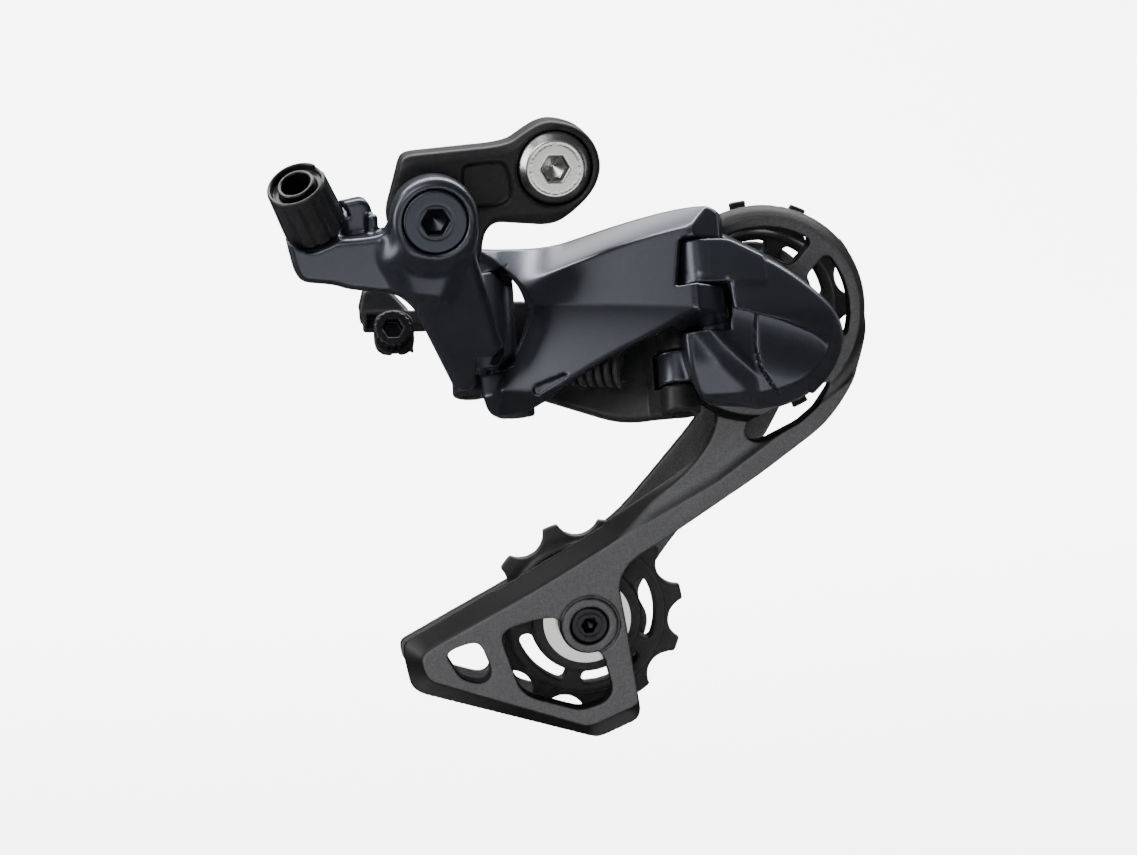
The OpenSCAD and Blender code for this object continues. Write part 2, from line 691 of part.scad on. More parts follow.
module tension_caps() {
    color("silver") {
        tube_y(tension, plate_y + 0.1, mid_y - 3.6, 4.6, 9.7);
        tube_y(tension, mid_y + 3.6, inner_y - 0.1, 4.6, 9.7);
    }
}

hanger_bolt();
hanger_circlip();
bracket_link();
pivot_bolt();
pivot_washer();
pivot_bush();
rear_body();
barrel_knob();
barrel_screw();
barrel_spring();
b_tension_screw();
limit_screw_high();
limit_screw_low();
rear_outer_pin();
rear_inner_pin();
outer_link();
front_outer_pin();
inner_link();
front_inner_pin();
cable_bolt();
cable_plate();
return_spring();
front_body();
cage_axle();
cage_bush();
cage_spring();
cage_seal();
axle_screw();
stop_pin();
outer_cage_plate();
inner_cage_plate();
guide_bolt();
guide_bush();
guide_caps();
guide_pulley();
tension_bolt();
tension_inner_race();
tension_balls();
tension_outer_race();
tension_caps();
tension_pulley();
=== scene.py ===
"""Looks of the rear derailleur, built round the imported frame.

Lengths are millimetres until a mesh is made.
"""
import json
import math
import bpy
import numpy as np
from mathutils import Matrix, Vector


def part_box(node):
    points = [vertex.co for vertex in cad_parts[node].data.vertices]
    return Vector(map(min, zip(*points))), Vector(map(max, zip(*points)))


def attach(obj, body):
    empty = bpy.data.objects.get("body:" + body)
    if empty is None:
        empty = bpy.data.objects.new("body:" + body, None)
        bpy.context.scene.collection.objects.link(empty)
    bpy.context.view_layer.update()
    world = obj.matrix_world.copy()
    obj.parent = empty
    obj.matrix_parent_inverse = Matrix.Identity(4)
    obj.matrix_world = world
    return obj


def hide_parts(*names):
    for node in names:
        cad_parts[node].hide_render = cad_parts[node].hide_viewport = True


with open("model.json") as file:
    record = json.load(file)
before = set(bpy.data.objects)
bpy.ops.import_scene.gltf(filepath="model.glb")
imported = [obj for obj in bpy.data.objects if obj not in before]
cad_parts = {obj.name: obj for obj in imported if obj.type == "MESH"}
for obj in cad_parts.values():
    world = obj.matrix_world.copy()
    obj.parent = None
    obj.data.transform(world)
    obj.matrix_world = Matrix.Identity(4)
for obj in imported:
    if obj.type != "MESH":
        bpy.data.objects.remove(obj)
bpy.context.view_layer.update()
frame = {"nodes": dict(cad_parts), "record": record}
MM = 0.001
DETAIL = 1.0

# ---------------------------------------------------------------- places, from the CAD
PIVOT = (-25.4, -9.2)
P_AXIS = (42.5, -33.2)
GUIDE = (46.1, -34.7)
TENSION = (9.1, -102.5)
PIN_ORIGIN = (-10.7, 9.0, -38.2)
PIN_SLANT = math.radians(28)
LINK = (41.7, -22.6)
LINK_LEN = math.hypot(*LINK)
SPREAD = (-4.4, 13.0)
BARREL_BASE = (-49.0, -6.3, -11.4)
BARREL_TILT = math.radians(38)
BARREL_HEADING = math.radians(237)
BARREL_LEN = 13.0


# ---------------------------------------------------------------- distance fields
def meet(a, b, r=0.4):
    """Intersection of two fields, its outer edge rounded to radius r."""
    return np.minimum(np.maximum(a, b), -r) + np.hypot(np.maximum(a + r, 0), np.maximum(b + r, 0))


def join(a, b, r=0.4):
    """Union of two fields, with a fillet of radius r."""
    return np.maximum(np.minimum(a, b), r) - np.hypot(np.maximum(r - a, 0), np.maximum(r - b, 0))


def cut(a, b, r=0.4):
    return meet(a, -b, r)


def ramp(v, r=1.0):
    """Zero below 0 and v above it, with a soft bend."""
    return 0.5 * (v + np.sqrt(v * v + r * r))


def between(v, low, high):
    return np.abs(v - (low + high) / 2) - (high - low) / 2


def rounded(points, radius):
    """Polygon with each corner replaced by a curve that starts up to radius away from it."""
    pts = [Vector(p) for p in points]
    radii = radius if isinstance(radius, (list, tuple)) else [radius] * len(pts)
    out = []
    for i, corner in enumerate(pts):
        before, after = pts[i - 1], pts[(i + 1) % len(pts)]
        reach_in = min(radii[i], (before - corner).length * 0.48)
        reach_out = min(radii[i], (after - corner).length * 0.48)
        if min(reach_in, reach_out) < 0.05:
            out.append(tuple(corner))
            continue
        start = corner + (before - corner).normalized() * reach_in
        end = corner + (after - corner).normalized() * reach_out
        for k in range(6):
            t = k / 5
            out.append(tuple(start * (1 - t) ** 2 + corner * (2 * t * (1 - t)) + end * t ** 2))
    return out


def polygon_distance(points, p, q):
    best = np.full(p.shape, 1e9)
    inside = np.zeros(p.shape, bool)
    for i, (ax, ay) in enumerate(points):
        bx, by = points[(i + 1) % len(points)]
        ex, ey = bx - ax, by - ay
        wx, wy = p - ax, q - ay
        t = np.clip((wx * ex + wy * ey) / (ex * ex + ey * ey), 0, 1)
        best = np.minimum(best, (wx - ex * t) ** 2 + (wy - ey * t) ** 2)
        if ay != by:
            inside ^= ((ay > q) != (by > q)) & (p < ex * (q - ay) / ey + ax)
    return np.where(inside, -1, 1) * np.sqrt(best)


class Outline:
    """A closed outline's signed distance, kept on a fine grid."""

    def __init__(self, points, radius=0.0, pitch=0.25, margin=10.0):
        pts = rounded(points, radius)
        low = np.min(pts, axis=0) - margin
        count = np.ceil((np.max(pts, axis=0) + margin - low) / pitch).astype(int) + 2
        self.low, self.pitch, self.count = low, pitch, count
        p, q = np.meshgrid(low[0] + pitch * np.arange(count[0]), low[1] + pitch * np.arange(count[1]),
            indexing="ij")
        self.grid = polygon_distance(pts, p, q)

    def __call__(self, p, q):
        a = np.clip((p - self.low[0]) / self.pitch, 0, self.count[0] - 1.001)
        b = np.clip((q - self.low[1]) / self.pitch, 0, self.count[1] - 1.001)
        i, j = a.astype(int), b.astype(int)
        a, b = a - i, b - j
        g = self.grid
        return ((g[i, j] * (1 - a) + g[i + 1, j] * a) * (1 - b)
            + (g[i, j + 1] * (1 - a) + g[i + 1, j + 1] * a) * b)


def line_distance(points, p, q):
    """Distance to an open line of points."""
    best = np.full(p.shape, 1e9)
    for (ax, ay), (bx, by) in zip(points, points[1:]):
        ex, ey = bx - ax, by - ay
        t = np.clip(((p - ax) * ex + (q - ay) * ey) / (ex * ex + ey * ey), 0, 1)
        best = np.minimum(best, (p - ax - ex * t) ** 2 + (q - ay - ey * t) ** 2)
    return np.sqrt(best)


def circle(p, q, centre, r):
    return np.hypot(p - centre[0], q - centre[1]) - r


def rod(at, centre, y0, y1, r, edge=0.3):
    """Cylinder along Y."""
    return meet(circle(at[0], at[2], centre, r), between(at[1], y0, y1), edge)


def sector(p, q, centre, r, a0, a1):
    """Pie slice of a disc between two angles in degrees, up to a half turn wide."""
    x, y = p - centre[0], q - centre[1]
    n0 = (math.sin(math.radians(a0)), -math.cos(math.radians(a0)))
    n1 = (-math.sin(math.radians(a1)), math.cos(math.radians(a1)))
    side = np.maximum(x * n0[0] + y * n0[1], x * n1[0] + y * n1[1])
    return np.maximum(np.hypot(x, y) - r, side)


def hexagon(p, q, centre, r, turn=0.0):
    """Hexagon of corner radius r."""
    x, y = p - centre[0], q - centre[1]
    best = None
    for k in range(3):
        a = math.radians(30 + 60 * k + turn)
        side = np.abs(x * math.cos(a) + y * math.sin(a)) - r * math.cos(math.radians(30))
        best = side if best is None else np.maximum(best, side)
    return best


def pin_frame(at):
    """x forward, e across the pins, s up the pins."""
    x, y, z = at[0] - PIN_ORIGIN[0], at[1] - PIN_ORIGIN[1], at[2] - PIN_ORIGIN[2]
    c, s = math.cos(PIN_SLANT), math.sin(PIN_SLANT)
    return x, y * c - z * s, y * s + z * c


def link_frame(at):
    """t from the rear pin to the front pin, d outboard of the pins, s up the pins."""
    x, e, s = pin_frame(at)
    ux, ue = LINK[0] / LINK_LEN, LINK[1] / LINK_LEN
    return x * ux + e * ue, x * ue - e * ux, s


def barrel_frame(at):
    ct, st = math.cos(BARREL_TILT), math.sin(BARREL_TILT)
    ch, sh = math.cos(BARREL_HEADING), math.sin(BARREL_HEADING)
    x, y, z = (at[i] - BARREL_BASE[i] for i in range(3))
    return ct * ch * x + ct * sh * y - st * z, -sh * x + ch * y, st * ch * x + st * sh * y + ct * z


# ---------------------------------------------------------------- meshes from fields
def field_mesh(field, low, high, step):
    """Vertices and quads on the zero level of a field, by surface nets, then pulled onto the level."""
    block = 4
    cells = np.ceil((np.asarray(high) - low) / (step * block)).astype(int)
    n = cells * block + 1
    middle = [low[i] + step * block * (np.arange(cells[i]) + 0.5) for i in range(3)]
    grid = np.meshgrid(*middle, indexing="ij")
    coarse = field([g.ravel() for g in grid]).reshape(cells)
    near = np.abs(coarse) < step * block * 1.25
    values = np.ones(n, np.float32)
    mask = np.zeros(n, bool)
    big = np.where(coarse < 0, -1.0, 1.0)
    for array, source in ((values, big), (mask, near)):
        wide = np.repeat(np.repeat(np.repeat(source, block, 0), block, 1), block, 2)
        array[:-1, :-1, :-1] = wide
    values[-1], values[:, -1], values[:, :, -1] = values[-2], values[:, -2], values[:, :, -2]
    mask[1:] |= mask[:-1].copy()
    mask[:, 1:] |= mask[:, :-1].copy()
    mask[:, :, 1:] |= mask[:, :, :-1].copy()
    where = np.nonzero(mask)
    values[where] = field([low[i] + step * where[i] for i in range(3)])
    inside = values < 0
    size = n - 1
    total = np.zeros((3, size.prod()))
    count = np.zeros(size.prod())
    edges = []
    for axis in range(3):
        a = [slice(None)] * 3
        b = [slice(None)] * 3
        a[axis], b[axis] = slice(None, -1), slice(1, None)
        idx = np.nonzero(inside[tuple(a)] != inside[tuple(b)])
        step_to = [i + (1 if k == axis else 0) for k, i in enumerate(idx)]
        f0, f1 = values[idx], values[tuple(step_to)]
        t = f0 / (f0 - f1)
        place = [i.astype(float) for i in idx]
        place[axis] = place[axis] + t
        others = [k for k in range(3) if k != axis]
        ids = []
        good = np.ones(len(t), bool)
        for du, dv in ((0, 0), (1, 0), (1, 1), (0, 1)):
            cell = [i.copy() for i in idx]
            cell[others[0]] -= du
            cell[others[1]] -= dv
            ok = np.all([(c >= 0) & (c < size[k]) for k, c in enumerate(cell)], axis=0)
            flat = (cell[0] * size[1] + cell[1]) * size[2] + cell[2]
            ids.append(np.where(ok, flat, 0))
            good &= ok
            for k in range(3):
                total[k] += np.bincount(ids[-1][ok], place[k][ok], size.prod())
            count += np.bincount(ids[-1][ok], None, size.prod())
        flip = (f0 < 0) != (axis == 1)
        quad = np.stack(ids, 1)[good]
        flip = flip[good]
        quad[~flip] = quad[~flip][:, ::-1]
        edges.append(quad)
    used = count > 0
    index = np.cumsum(used) - 1
    points = np.asarray(low)[:, None] + step * total[:, used] / count[used]
    faces = index[np.concatenate(edges)]
    for _ in range(2):
        value = field(list(points))
        h = 0.02
        grad = np.array([(field([points[k] + (h if k == i else 0) for k in range(3)]) - value) / h
            for i in range(3)])
        move = np.clip(value / np.maximum((grad ** 2).sum(0), 0.25), -0.35 * step, 0.35 * step)
        points = points - move * grad
    return points.T, faces


def make_object(name, points, faces, smooth=True):
    mesh = bpy.data.meshes.new(name)
    mesh.vertices.add(len(points))
    mesh.vertices.foreach_set("co", (np.asarray(points) * MM).ravel())
    width = faces.shape[1]
    mesh.loops.add(faces.size)
    mesh.loops.foreach_set("vertex_index", faces.ravel().astype(np.int32))
    mesh.polygons.add(len(faces))
    mesh.polygons.foreach_set("loop_start", np.arange(0, faces.size, width, dtype=np.int32))
    mesh.polygons.foreach_set("loop_total", np.full(len(faces), width, dtype=np.int32))
    mesh.update(calc_edges=True)
    mesh.validate()
    if smooth:
        mesh.shade_smooth()
    piece = bpy.data.objects.new(name, mesh)
    bpy.context.collection.objects.link(piece)
    return piece


def sculpt(name, body, nodes, field, step, material, grow=0.8):
    """Makes a piece from a field and puts it in place of CAD nodes."""
    corners = [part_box(node) for node in nodes]
    low = np.min([np.array(c[0]) for c in corners], axis=0) / MM - grow
    high = np.max([np.array(c[1]) for c in corners], axis=0) / MM + grow
    points, faces = field_mesh(field, low, high, step * DETAIL)
    piece = make_object(name, points, faces)
    piece.data.materials.append(material)
    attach(piece, body)
    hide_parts(*nodes)
    return piece


# ---------------------------------------------------------------- materials
def new_material(name):
    material = bpy.data.materials.new(name)
    material.use_nodes = True
    tree = material.node_tree
    return material, tree, tree.nodes["Principled BSDF"]


def surface(name, dark, light, metal, rough, rough_spread, scale, bump=0.0, bump_scale=0.0, coat=0.0,
        specular=0.5, streak=None, wall=None):
    """A finish with colour, gloss and relief that vary by noise in the object's own space. With wall given,
    faces that don't face along Y take that darker colour: painted shade on side walls.
    """
    material, tree, shader = new_material(name)
    nodes, links = tree.nodes, tree.links
    place = nodes.new("ShaderNodeTexCoord")
    stretch = nodes.new("ShaderNodeMapping")
    stretch.inputs["Scale"].default_value = streak or (1, 1, 1)
    links.new(place.outputs["Object"], stretch.inputs["Vector"])
    cloud = nodes.new("ShaderNodeTexNoise")
    cloud.inputs["Scale"].default_value = scale
    cloud.inputs["Detail"].default_value = 6
    cloud.inputs["Roughness"].default_value = 0.65
    links.new(stretch.outputs["Vector"], cloud.inputs["Vector"])
    tone = nodes.new("ShaderNodeValToRGB")
    tone.color_ramp.elements[0].position = 0.32
    tone.color_ramp.elements[1].position = 0.68
    tone.color_ramp.elements[0].color = (*dark, 1)
    tone.color_ramp.elements[1].color = (*light, 1)
    links.new(cloud.outputs["Fac"], tone.inputs["Fac"])
    colour = tone.outputs["Color"]
    # wall: painted shade. Faces turned away from Y get a darker colour in place of the shade that lamps
    # would give them.
    if wall:
        parts = nodes.new("ShaderNodeSeparateXYZ")
        links.new(place.outputs["Normal"], parts.inputs["Vector"])
        facing = nodes.new("ShaderNodeMath")
        facing.operation = "ABSOLUTE"
        links.new(parts.outputs["Y"], facing.inputs[0])
        span = nodes.new("ShaderNodeMapRange")
        span.inputs["From Min"].default_value = 0.72
        span.inputs["From Max"].default_value = 0.97
        links.new(facing.outputs["Value"], span.inputs["Value"])
        painted_wall_shade_mix = nodes.new("ShaderNodeMix")
        painted_wall_shade_mix.data_type = "RGBA"
        painted_wall_shade_mix.inputs["A"].default_value = (*wall, 1)
        links.new(span.outputs["Result"], painted_wall_shade_mix.inputs["Factor"])
        links.new(colour, painted_wall_shade_mix.inputs["B"])
        colour = painted_wall_shade_mix.outputs["Result"]
    links.new(colour, shader.inputs["Base Color"])
    gloss = nodes.new("ShaderNodeMapRange")
    gloss.inputs["To Min"].default_value = rough - rough_spread
    gloss.inputs["To Max"].default_value = rough + rough_spread
    links.new(cloud.outputs["Fac"], gloss.inputs["Value"])
    links.new(gloss.outputs["Result"], shader.inputs["Roughness"])
    shader.inputs["Metallic"].default_value = metal
    shader.inputs["Specular IOR Level"].default_value = specular
    shader.inputs["Coat Weight"].default_value = coat
    shader.inputs["Coat Roughness"].default_value = 0.25
    if bump:
        grain = nodes.new("ShaderNodeTexNoise")
        grain.inputs["Scale"].default_value = bump_scale
        grain.inputs["Detail"].default_value = 3
        links.new(stretch.outputs["Vector"], grain.inputs["Vector"])
        relief = nodes.new("ShaderNodeBump")
        relief.inputs["Strength"].default_value = bump
        relief.inputs["Distance"].default_value = 0.00006
        links.new(grain.outputs["Fac"], relief.inputs["Height"])
        links.new(relief.outputs["Normal"], shader.inputs["Normal"])
    return material


BODY = surface("gunmetal_anodised", (0.031, 0.0335, 0.0425), (0.041, 0.0445, 0.0555), 0.82, 0.34, 0.04,
    5200, bump=0.15, bump_scale=9000, coat=0.22)
LINK_METAL = surface("link_gunmetal", (0.019, 0.0206, 0.0272), (0.025, 0.0272, 0.0352), 0.82, 0.29, 0.04,
    5200, bump=0.08, bump_scale=9000, coat=0.30)
# The cage's near-black wall colour is painted shade on the plate's side walls. The faces keep the blasted
# tone.
CAGE = surface("cage_blasted_painted_wall_shade", (0.062, 0.062, 0.064), (0.102, 0.102, 0.106), 0.55, 0.46, 0.07, 2600,
    wall=(0.007, 0.007, 0.0075), specular=0.20, bump=0.45, bump_scale=3400)
BLACK_PAINT = surface("bracket_black", (0.008, 0.008, 0.009), (0.013, 0.013, 0.014), 0.25, 0.42, 0.05, 900,
    specular=0.22, bump=0.20, bump_scale=5200)
LINK_BLACK = surface("inner_link_black", (0.007, 0.007, 0.008), (0.012, 0.012, 0.013), 0.2, 0.38, 0.05,
    900, specular=0.22, bump=0.2, bump_scale=5200)
PLASTIC = surface("black_plastic", (0.006, 0.006, 0.007), (0.010, 0.010, 0.011), 0.0, 0.36, 0.05, 1500,
    specular=0.22, bump=0.18, bump_scale=4200)
RESIN = surface("pulley_resin", (0.010, 0.010, 0.011), (0.017, 0.017, 0.018), 0.0, 0.50, 0.06, 1800,
    specular=0.22, bump=0.3, bump_scale=4200)
BRIGHT = surface("bright_steel", (0.44, 0.44, 0.43), (0.50, 0.50, 0.49), 1.0, 0.28, 0.02, 2600, bump=0.2,
    bump_scale=2600, streak=(1, 6, 1))
# Plain steel gets a near-black colour, far darker than bare steel. This is painted shade for steel parts
# that sit hidden in shade.
PLAIN_STEEL_PAINTED_SHADE = surface("plain_steel", (0.06, 0.06, 0.062), (0.10, 0.10, 0.102), 1.0, 0.30, 0.06, 1200, bump=0.2,
    bump_scale=3200)
DARK_STEEL = surface("dark_steel", (0.028, 0.030, 0.038), (0.036, 0.039, 0.0485), 0.85, 0.30, 0.02, 2500,
    bump=0.04, bump_scale=4200)
BLACK_STEEL = surface("black_steel", (0.012, 0.012, 0.014), (0.022, 0.022, 0.024), 0.85, 0.32, 0.06, 1500,
    bump=0.2, bump_scale=4200)
SPRING = surface("coated_spring", (0.009, 0.009, 0.010), (0.016, 0.016, 0.017), 0.15, 0.50, 0.06, 1500,
    specular=0.22, bump=0.25, bump_scale=3000)
RUBBER = surface("seal_rubber", (0.012, 0.012, 0.012), (0.018, 0.018, 0.018), 0.0, 0.65, 0.06, 1500,
    bump=0.3, bump_scale=2600)
BRONZE = surface("bush_bronze", (0.33, 0.22, 0.10), (0.46, 0.31, 0.15), 1.0, 0.34, 0.06, 1400, bump=0.2,
    bump_scale=3000)
CERAMIC = surface("bearing_ceramic", (0.62, 0.61, 0.58), (0.74, 0.73, 0.70), 0.0, 0.18, 0.03, 1200,
    bump=0.05, bump_scale=3000, coat=0.3)
FINISH = {"bright_steel": BRIGHT, "plain_steel": PLAIN_STEEL_PAINTED_SHADE, "dark_steel": DARK_STEEL,
    "black_steel": BLACK_STEEL, "spring_steel": SPRING, "black_paint": BLACK_PAINT,
    "link_black": LINK_BLACK, "body_finish": BODY, "cage_anodised": CAGE, "pulley_resin": RESIN,
    "black_plastic": PLASTIC, "seal_rubber": RUBBER, "bronze": BRONZE, "ceramic_white": CERAMIC}
for row in frame["record"]["subparts"]:
    for slot in frame["nodes"][row["node"]].material_slots:
        slot.material = BRIGHT if "caps" in row["node"] else FINISH[row["material_slot"]]


# ---------------------------------------------------------------- outer link
LINK_FACE = 6.8
NOTCH_LOW, NOTCH_HIGH = 1.9, 11.9
link_side = Outline([(-3.4, -10.0), (-2.9, -16.4), (-1.6, -17.6), (4.2, -18.2), (10.8, -17.3),
    (18.2, -13.8), (26, -10.6), (35, -7.8), (40, -6.2), (45, -4.4), (49.6, -4.2), (52.9, -4.9),
    (53.3, 17.0), (50.5, 19.4), (43, 20.1), (34, 19.6), (23, 18.4), (12, 17.0), (4, 17.4), (-2, 19.0),
    (-5.6, 19.4), (-6.2, 12)], [1, 1.2, 1.2, 3, 3, 3, 4, 3, 3, 2.2, 1.6, 0.8, 3, 4, 5, 6, 8, 8, 6, 3, 2,
    1])
link_mouth = Outline([(-14, -8.8), (2.6, -8.8), (6.0, -6.2), (9.0, 0.6), (9.4, 3.4), (7.8, 8.9),
    (3.6, 12.6), (-1.5, 13.4), (-14, 13.4)], [0, 2.5, 3, 3, 3, 3, 3, 3, 0])


def link_face(t, s):
    """How far outboard the link's face stands.

    It has a flat panel, a top band, a scooped lower panel and a left bevel.
    """
    crease = 2.9 - 0.15 * np.maximum(t - 12, 0) - 0.0008 * np.maximum(t - 12, 0) ** 2
    below = ramp(crease - s, 0.25)
    scoop = 1.5 * (1 - np.exp(-below / 3.2)) + 0.03 * below
    upper = 9.8 + 0.20 * (t - 18.2) - 0.0036 * np.maximum(t - 26, 0) ** 2
    fade = np.clip((t - 3.0) / 15.0, 0, 1)
    fade = fade * fade * (3 - 2 * fade)
    above = s - upper
    band = (0.62 * ramp(above, 0.35 + 2.6 * (1 - fade)) + 0.02 * np.maximum(above, 0) ** 2) * (0.3 + 0.7
        * fade)
    edge = np.where(s < 2.9, 12 + (s - 2.9) * 0.58, 12 - 0.35 * (s - 2.9) - 0.035 * (s - 2.9) ** 2)
    off = ramp(edge - t, 0.25)
    bevel = 0.9 * off - 0.65 * ramp(off - 2.4, 0.5)
    foot = 0.8 * ramp(-13.6 - 0.2 * np.clip(t - 2.5, 0, 8) - s, 0.3)
    return LINK_FACE - scoop - np.maximum(band, 0) - bevel - foot


def outer_link_field(at):
    t, d, s = link_frame(at)
    face = link_face(t, s)
    nose = np.maximum(np.hypot(t - LINK_LEN, d) - 6.7, 0.8 * (t - LINK_LEN) + 0.6 * d - 4.5)
    nose = np.maximum(nose, np.maximum(t - LINK_LEN - 4.6, np.hypot(t - LINK_LEN, np.minimum(d, 0)) - 4.7))
    tail = np.hypot(t, np.minimum(d - 0.6, 0)) - 4.9
    tail = np.maximum(tail, np.hypot(np.minimum(t, 0), d) - 6.9)
    inboard = np.where(t < 28, -4.6, np.where(t < 34, -4.6 + (t - 28) * 0.516, -1.5))
    middle = np.maximum(between(t, 0, LINK_LEN), inboard - d)
    plan = np.minimum(np.minimum(np.maximum(nose, LINK_LEN - 4 - t), np.maximum(tail, t - 4)), middle)
    body = meet(meet(plan, d - face, 0.5), link_side(t, s), 0.7)
    channel = meet(meet(between(t, 6.4, LINK_LEN - 6.6), d - np.minimum(4.8, face - 1.7), 0.8), s - 17.6,
        0.8)
    body = cut(body, channel, 0.5)
    mouth = np.minimum(link_mouth(t, s), np.maximum(np.maximum(between(s, -8.8, 13.3), t - 6.0), d - 4.8))
    nose_room = np.minimum(np.hypot(t - LINK_LEN, d) - 6.0, 43.6 + 0.154 * (s - 2.5) - t)
    nose_room = np.minimum(nose_room, np.maximum(LINK_LEN - 6.2 - t, d - 1))
    front_gap = meet(nose_room, between(s, NOTCH_LOW, NOTCH_HIGH), 0.5)
    body = cut(cut(body, mouth, 0.35), front_gap, 0.45)
    along = np.clip(((t - 10.6) * 6.5 + (s + 14.7) * 2.0) / 46.3, 0, 1)
    recess = np.hypot(t - 10.6 - 6.5 * along, s + 14.7 - 2.0 * along) - 0.95 + 0.55 * along
    return cut(body, np.maximum(recess, face - 0.7 - d), 0.25)


sculpt("outer_link_casting", "outer_arm", ["outer_link"], outer_link_field, 0.36,
    LINK_METAL, 1.2)

# ---------------------------------------------------------------- front body
front_side = Outline([(25.7, -28.5), (25.7, -15.0), (35.1, -15.0), (41.1, -17.8), (47.6, -21.2),
    (54.1, -25.9), (58.6, -30.3), (60.9, -35.4), (60.4, -40.4), (57.8, -45.2), (54.2, -49.0),
    (48.8, -51.6), (43.4, -52.3), (37.2, -51.8), (30.6, -50.6), (28.7, -47.4), (26.8, -41.0)],
    [1.5, 2.2, 2, 3, 4, 4, 3.5, 4, 4, 4, 4, 4, 4, 4, 2, 3, 3])
front_upper = Outline([(25.7, -13.0), (35.2, -14.4), (41.3, -17.1), (47.8, -20.5), (54.4, -25.3),
    (59.4, -30.0), (62.0, -36.0), (61.0, -44.0), (56.0, -50.0), (52.0, -47.0), (55.2, -41.4),
    (57.0, -37.4), (54.1, -34.8), (47.3, -31.7), (40.5, -29.6), (36.1, -28.6), (35.3, -22.0),
    (25.7, -21.0)], [1.6, 2, 3, 4, 4, 3, 4, 4, 1, 2, 3, 1.6, 3, 4, 4, 0.6, 0.6, 0.6])
front_rim = Outline([(15, -24), (36, -24), (40.5, -26), (47.3, -28), (58, -31), (57.4, -37.6), (55.4, -41),
    (50.9, -44.6), (47.5, -46.0), (40.7, -47.3), (33.9, -47.6), (15, -47.4)],
    [1, 1, 1, 1, 1, 2, 3, 3, 3, 4, 4, 1])
SEAM = [(41.4, -31.0), (41.3, -37.3), (42.4, -41.8), (45.2, -46.2), (46.2, -47.6)]


KNUCKLE_R = 5.4


def front_clearance(at):
    """Room that the outer link needs about the front outer pin, and the inner link about the inner one."""
    x, e, s = pin_frame(at)
    u, v = x - LINK[0], e - LINK[1]
    link_room = np.minimum(np.hypot(u, v) - 5.2, sector(u, v, (0, 0), 7.0, -118, -46))
    room = np.maximum(link_room, np.minimum(s - NOTCH_LOW - 0.3, NOTCH_HIGH - 0.3 - s))
    side = np.maximum(np.maximum(u, -u - 30), np.maximum(-7.2 - v, v - 6))
    room = np.minimum(room, np.maximum(side, np.minimum(s - NOTCH_LOW, NOTCH_HIGH - s)))
    room = np.minimum(room, np.maximum(u, 5.45 - np.hypot(u, v)))
    room = np.maximum(room, -6.3 - s)
    u, v = x - LINK[0] - SPREAD[0], e - LINK[1] - SPREAD[1]
    inner = np.maximum(np.hypot(u, v) - 5.6, np.minimum(s + 15.3, -8.3 - s))
    inner = np.maximum(inner, s - 4)
    below = np.maximum(np.maximum(np.maximum(u, -30 - u), np.maximum(-6.4 - v, v - 30)), s + 15.3)
    return np.minimum(room, np.minimum(inner, below))


def front_body_field(at):
    x, y, z = at
    right = ramp(x - 37, 2)
    face = -18.1 + 0.53 * ramp(z + 30.2, 1.5) + 0.0112 * right ** 2 + 0.24 * ramp(-36 - z, 2)
    px, pe, ps = pin_frame(at)
    u, v = px - LINK[0], pe - LINK[1]
    upper = meet(front_upper(x, z), face - y, 0.4)
    upper = meet(upper, np.where(u < 0, np.hypot(u, v) - KNUCKLE_R, -9.0), 0.2)
    upper = np.maximum(upper, y + 6)
    crease_z = -29.6 - 0.26 * ramp(x - 36, 1) - 0.003 * right ** 2
    rise = np.clip((crease_z - z) / 12.0, 0, 1)
    floor_y = -12.9 - 1.7 * rise * rise * (3 - 2 * rise)
    fold = line_distance([(28.4, -30.8), (33.6, -37.0), (42.4, -45.6)], x, z)
    left = 1 / (1 + np.exp((x - 41.4) * 4.0))
    under = 1 / (1 + np.exp(((x - 28.4) * -1.02 - (z + 30.8)) * 1.6))
    floor_y = floor_y - left * (1.1 * np.exp(-(fold / 1.9) ** 2) - 1.2 * (1 - under)) - (1 - left) * 0.6
    floor_y = floor_y + 0.95 * ramp(front_rim(x, z) - 0.1, 0.3) + 0.02 * right ** 1.6 * 0.2
    lower = meet(front_side(x, z), floor_y - y, 2.0)
    body = join(upper, lower, 0.5)
    body = meet(body, meet(front_side(x, z), y - 3.0, 0.5), 0.8)
    bar = np.maximum(between(u, 0, 12), between(v, -KNUCKLE_R, 6))
    knuckle = meet(np.minimum(np.hypot(u, v) - KNUCKLE_R, bar),
        between(ps, NOTCH_LOW + 0.3, NOTCH_HIGH - 0.3), 0.4)
    knuckle = meet(knuckle, np.maximum(front_side(x, z), face - y), 0.3)
    u, v = px - LINK[0] - SPREAD[0], pe - LINK[1] - SPREAD[1]
    foot = meet(np.minimum(np.hypot(u, v) - 4.4, np.maximum(between(u, 0, 13), between(v, -4.4, 4))),
        between(ps, -15.3, -8.3), 0.5)
    body = join(join(body, knuckle, 1.0), foot, 1.2)
    seam = np.maximum(line_distance(SEAM, x, z) - 0.17, y - floor_y - 0.6)
    body = cut(body, seam, 0.1)
    body = np.maximum(body, y - 3.0)
    body = cut(body, front_clearance(at), 0.45)
    body = cut(body, rod(at, P_AXIS, -9.4, 6.0, 5.0, 0.1), 0.2)
    body = cut(body, np.maximum(rod(at, P_AXIS, -5.5, 6.0, 9.3, 0.1),
        -rod(at, P_AXIS, -9.0, 9.0, 6.2, 0.1)), 0.2)
    body = cut(body, rod(at, P_AXIS, 2.1, 6.0, 12.8, 0.1), 0.2)
    groove = np.maximum(sector(x, z, P_AXIS, 17.25, 222.2, 329.5), 14.15
        - np.hypot(x - P_AXIS[0], z - P_AXIS[1]))
    return cut(body, np.maximum(groove, -y), 0.2)


sculpt("front_body_casting", "front_knuckle", ["front_body"], front_body_field, 0.36, BODY,
    2.0)

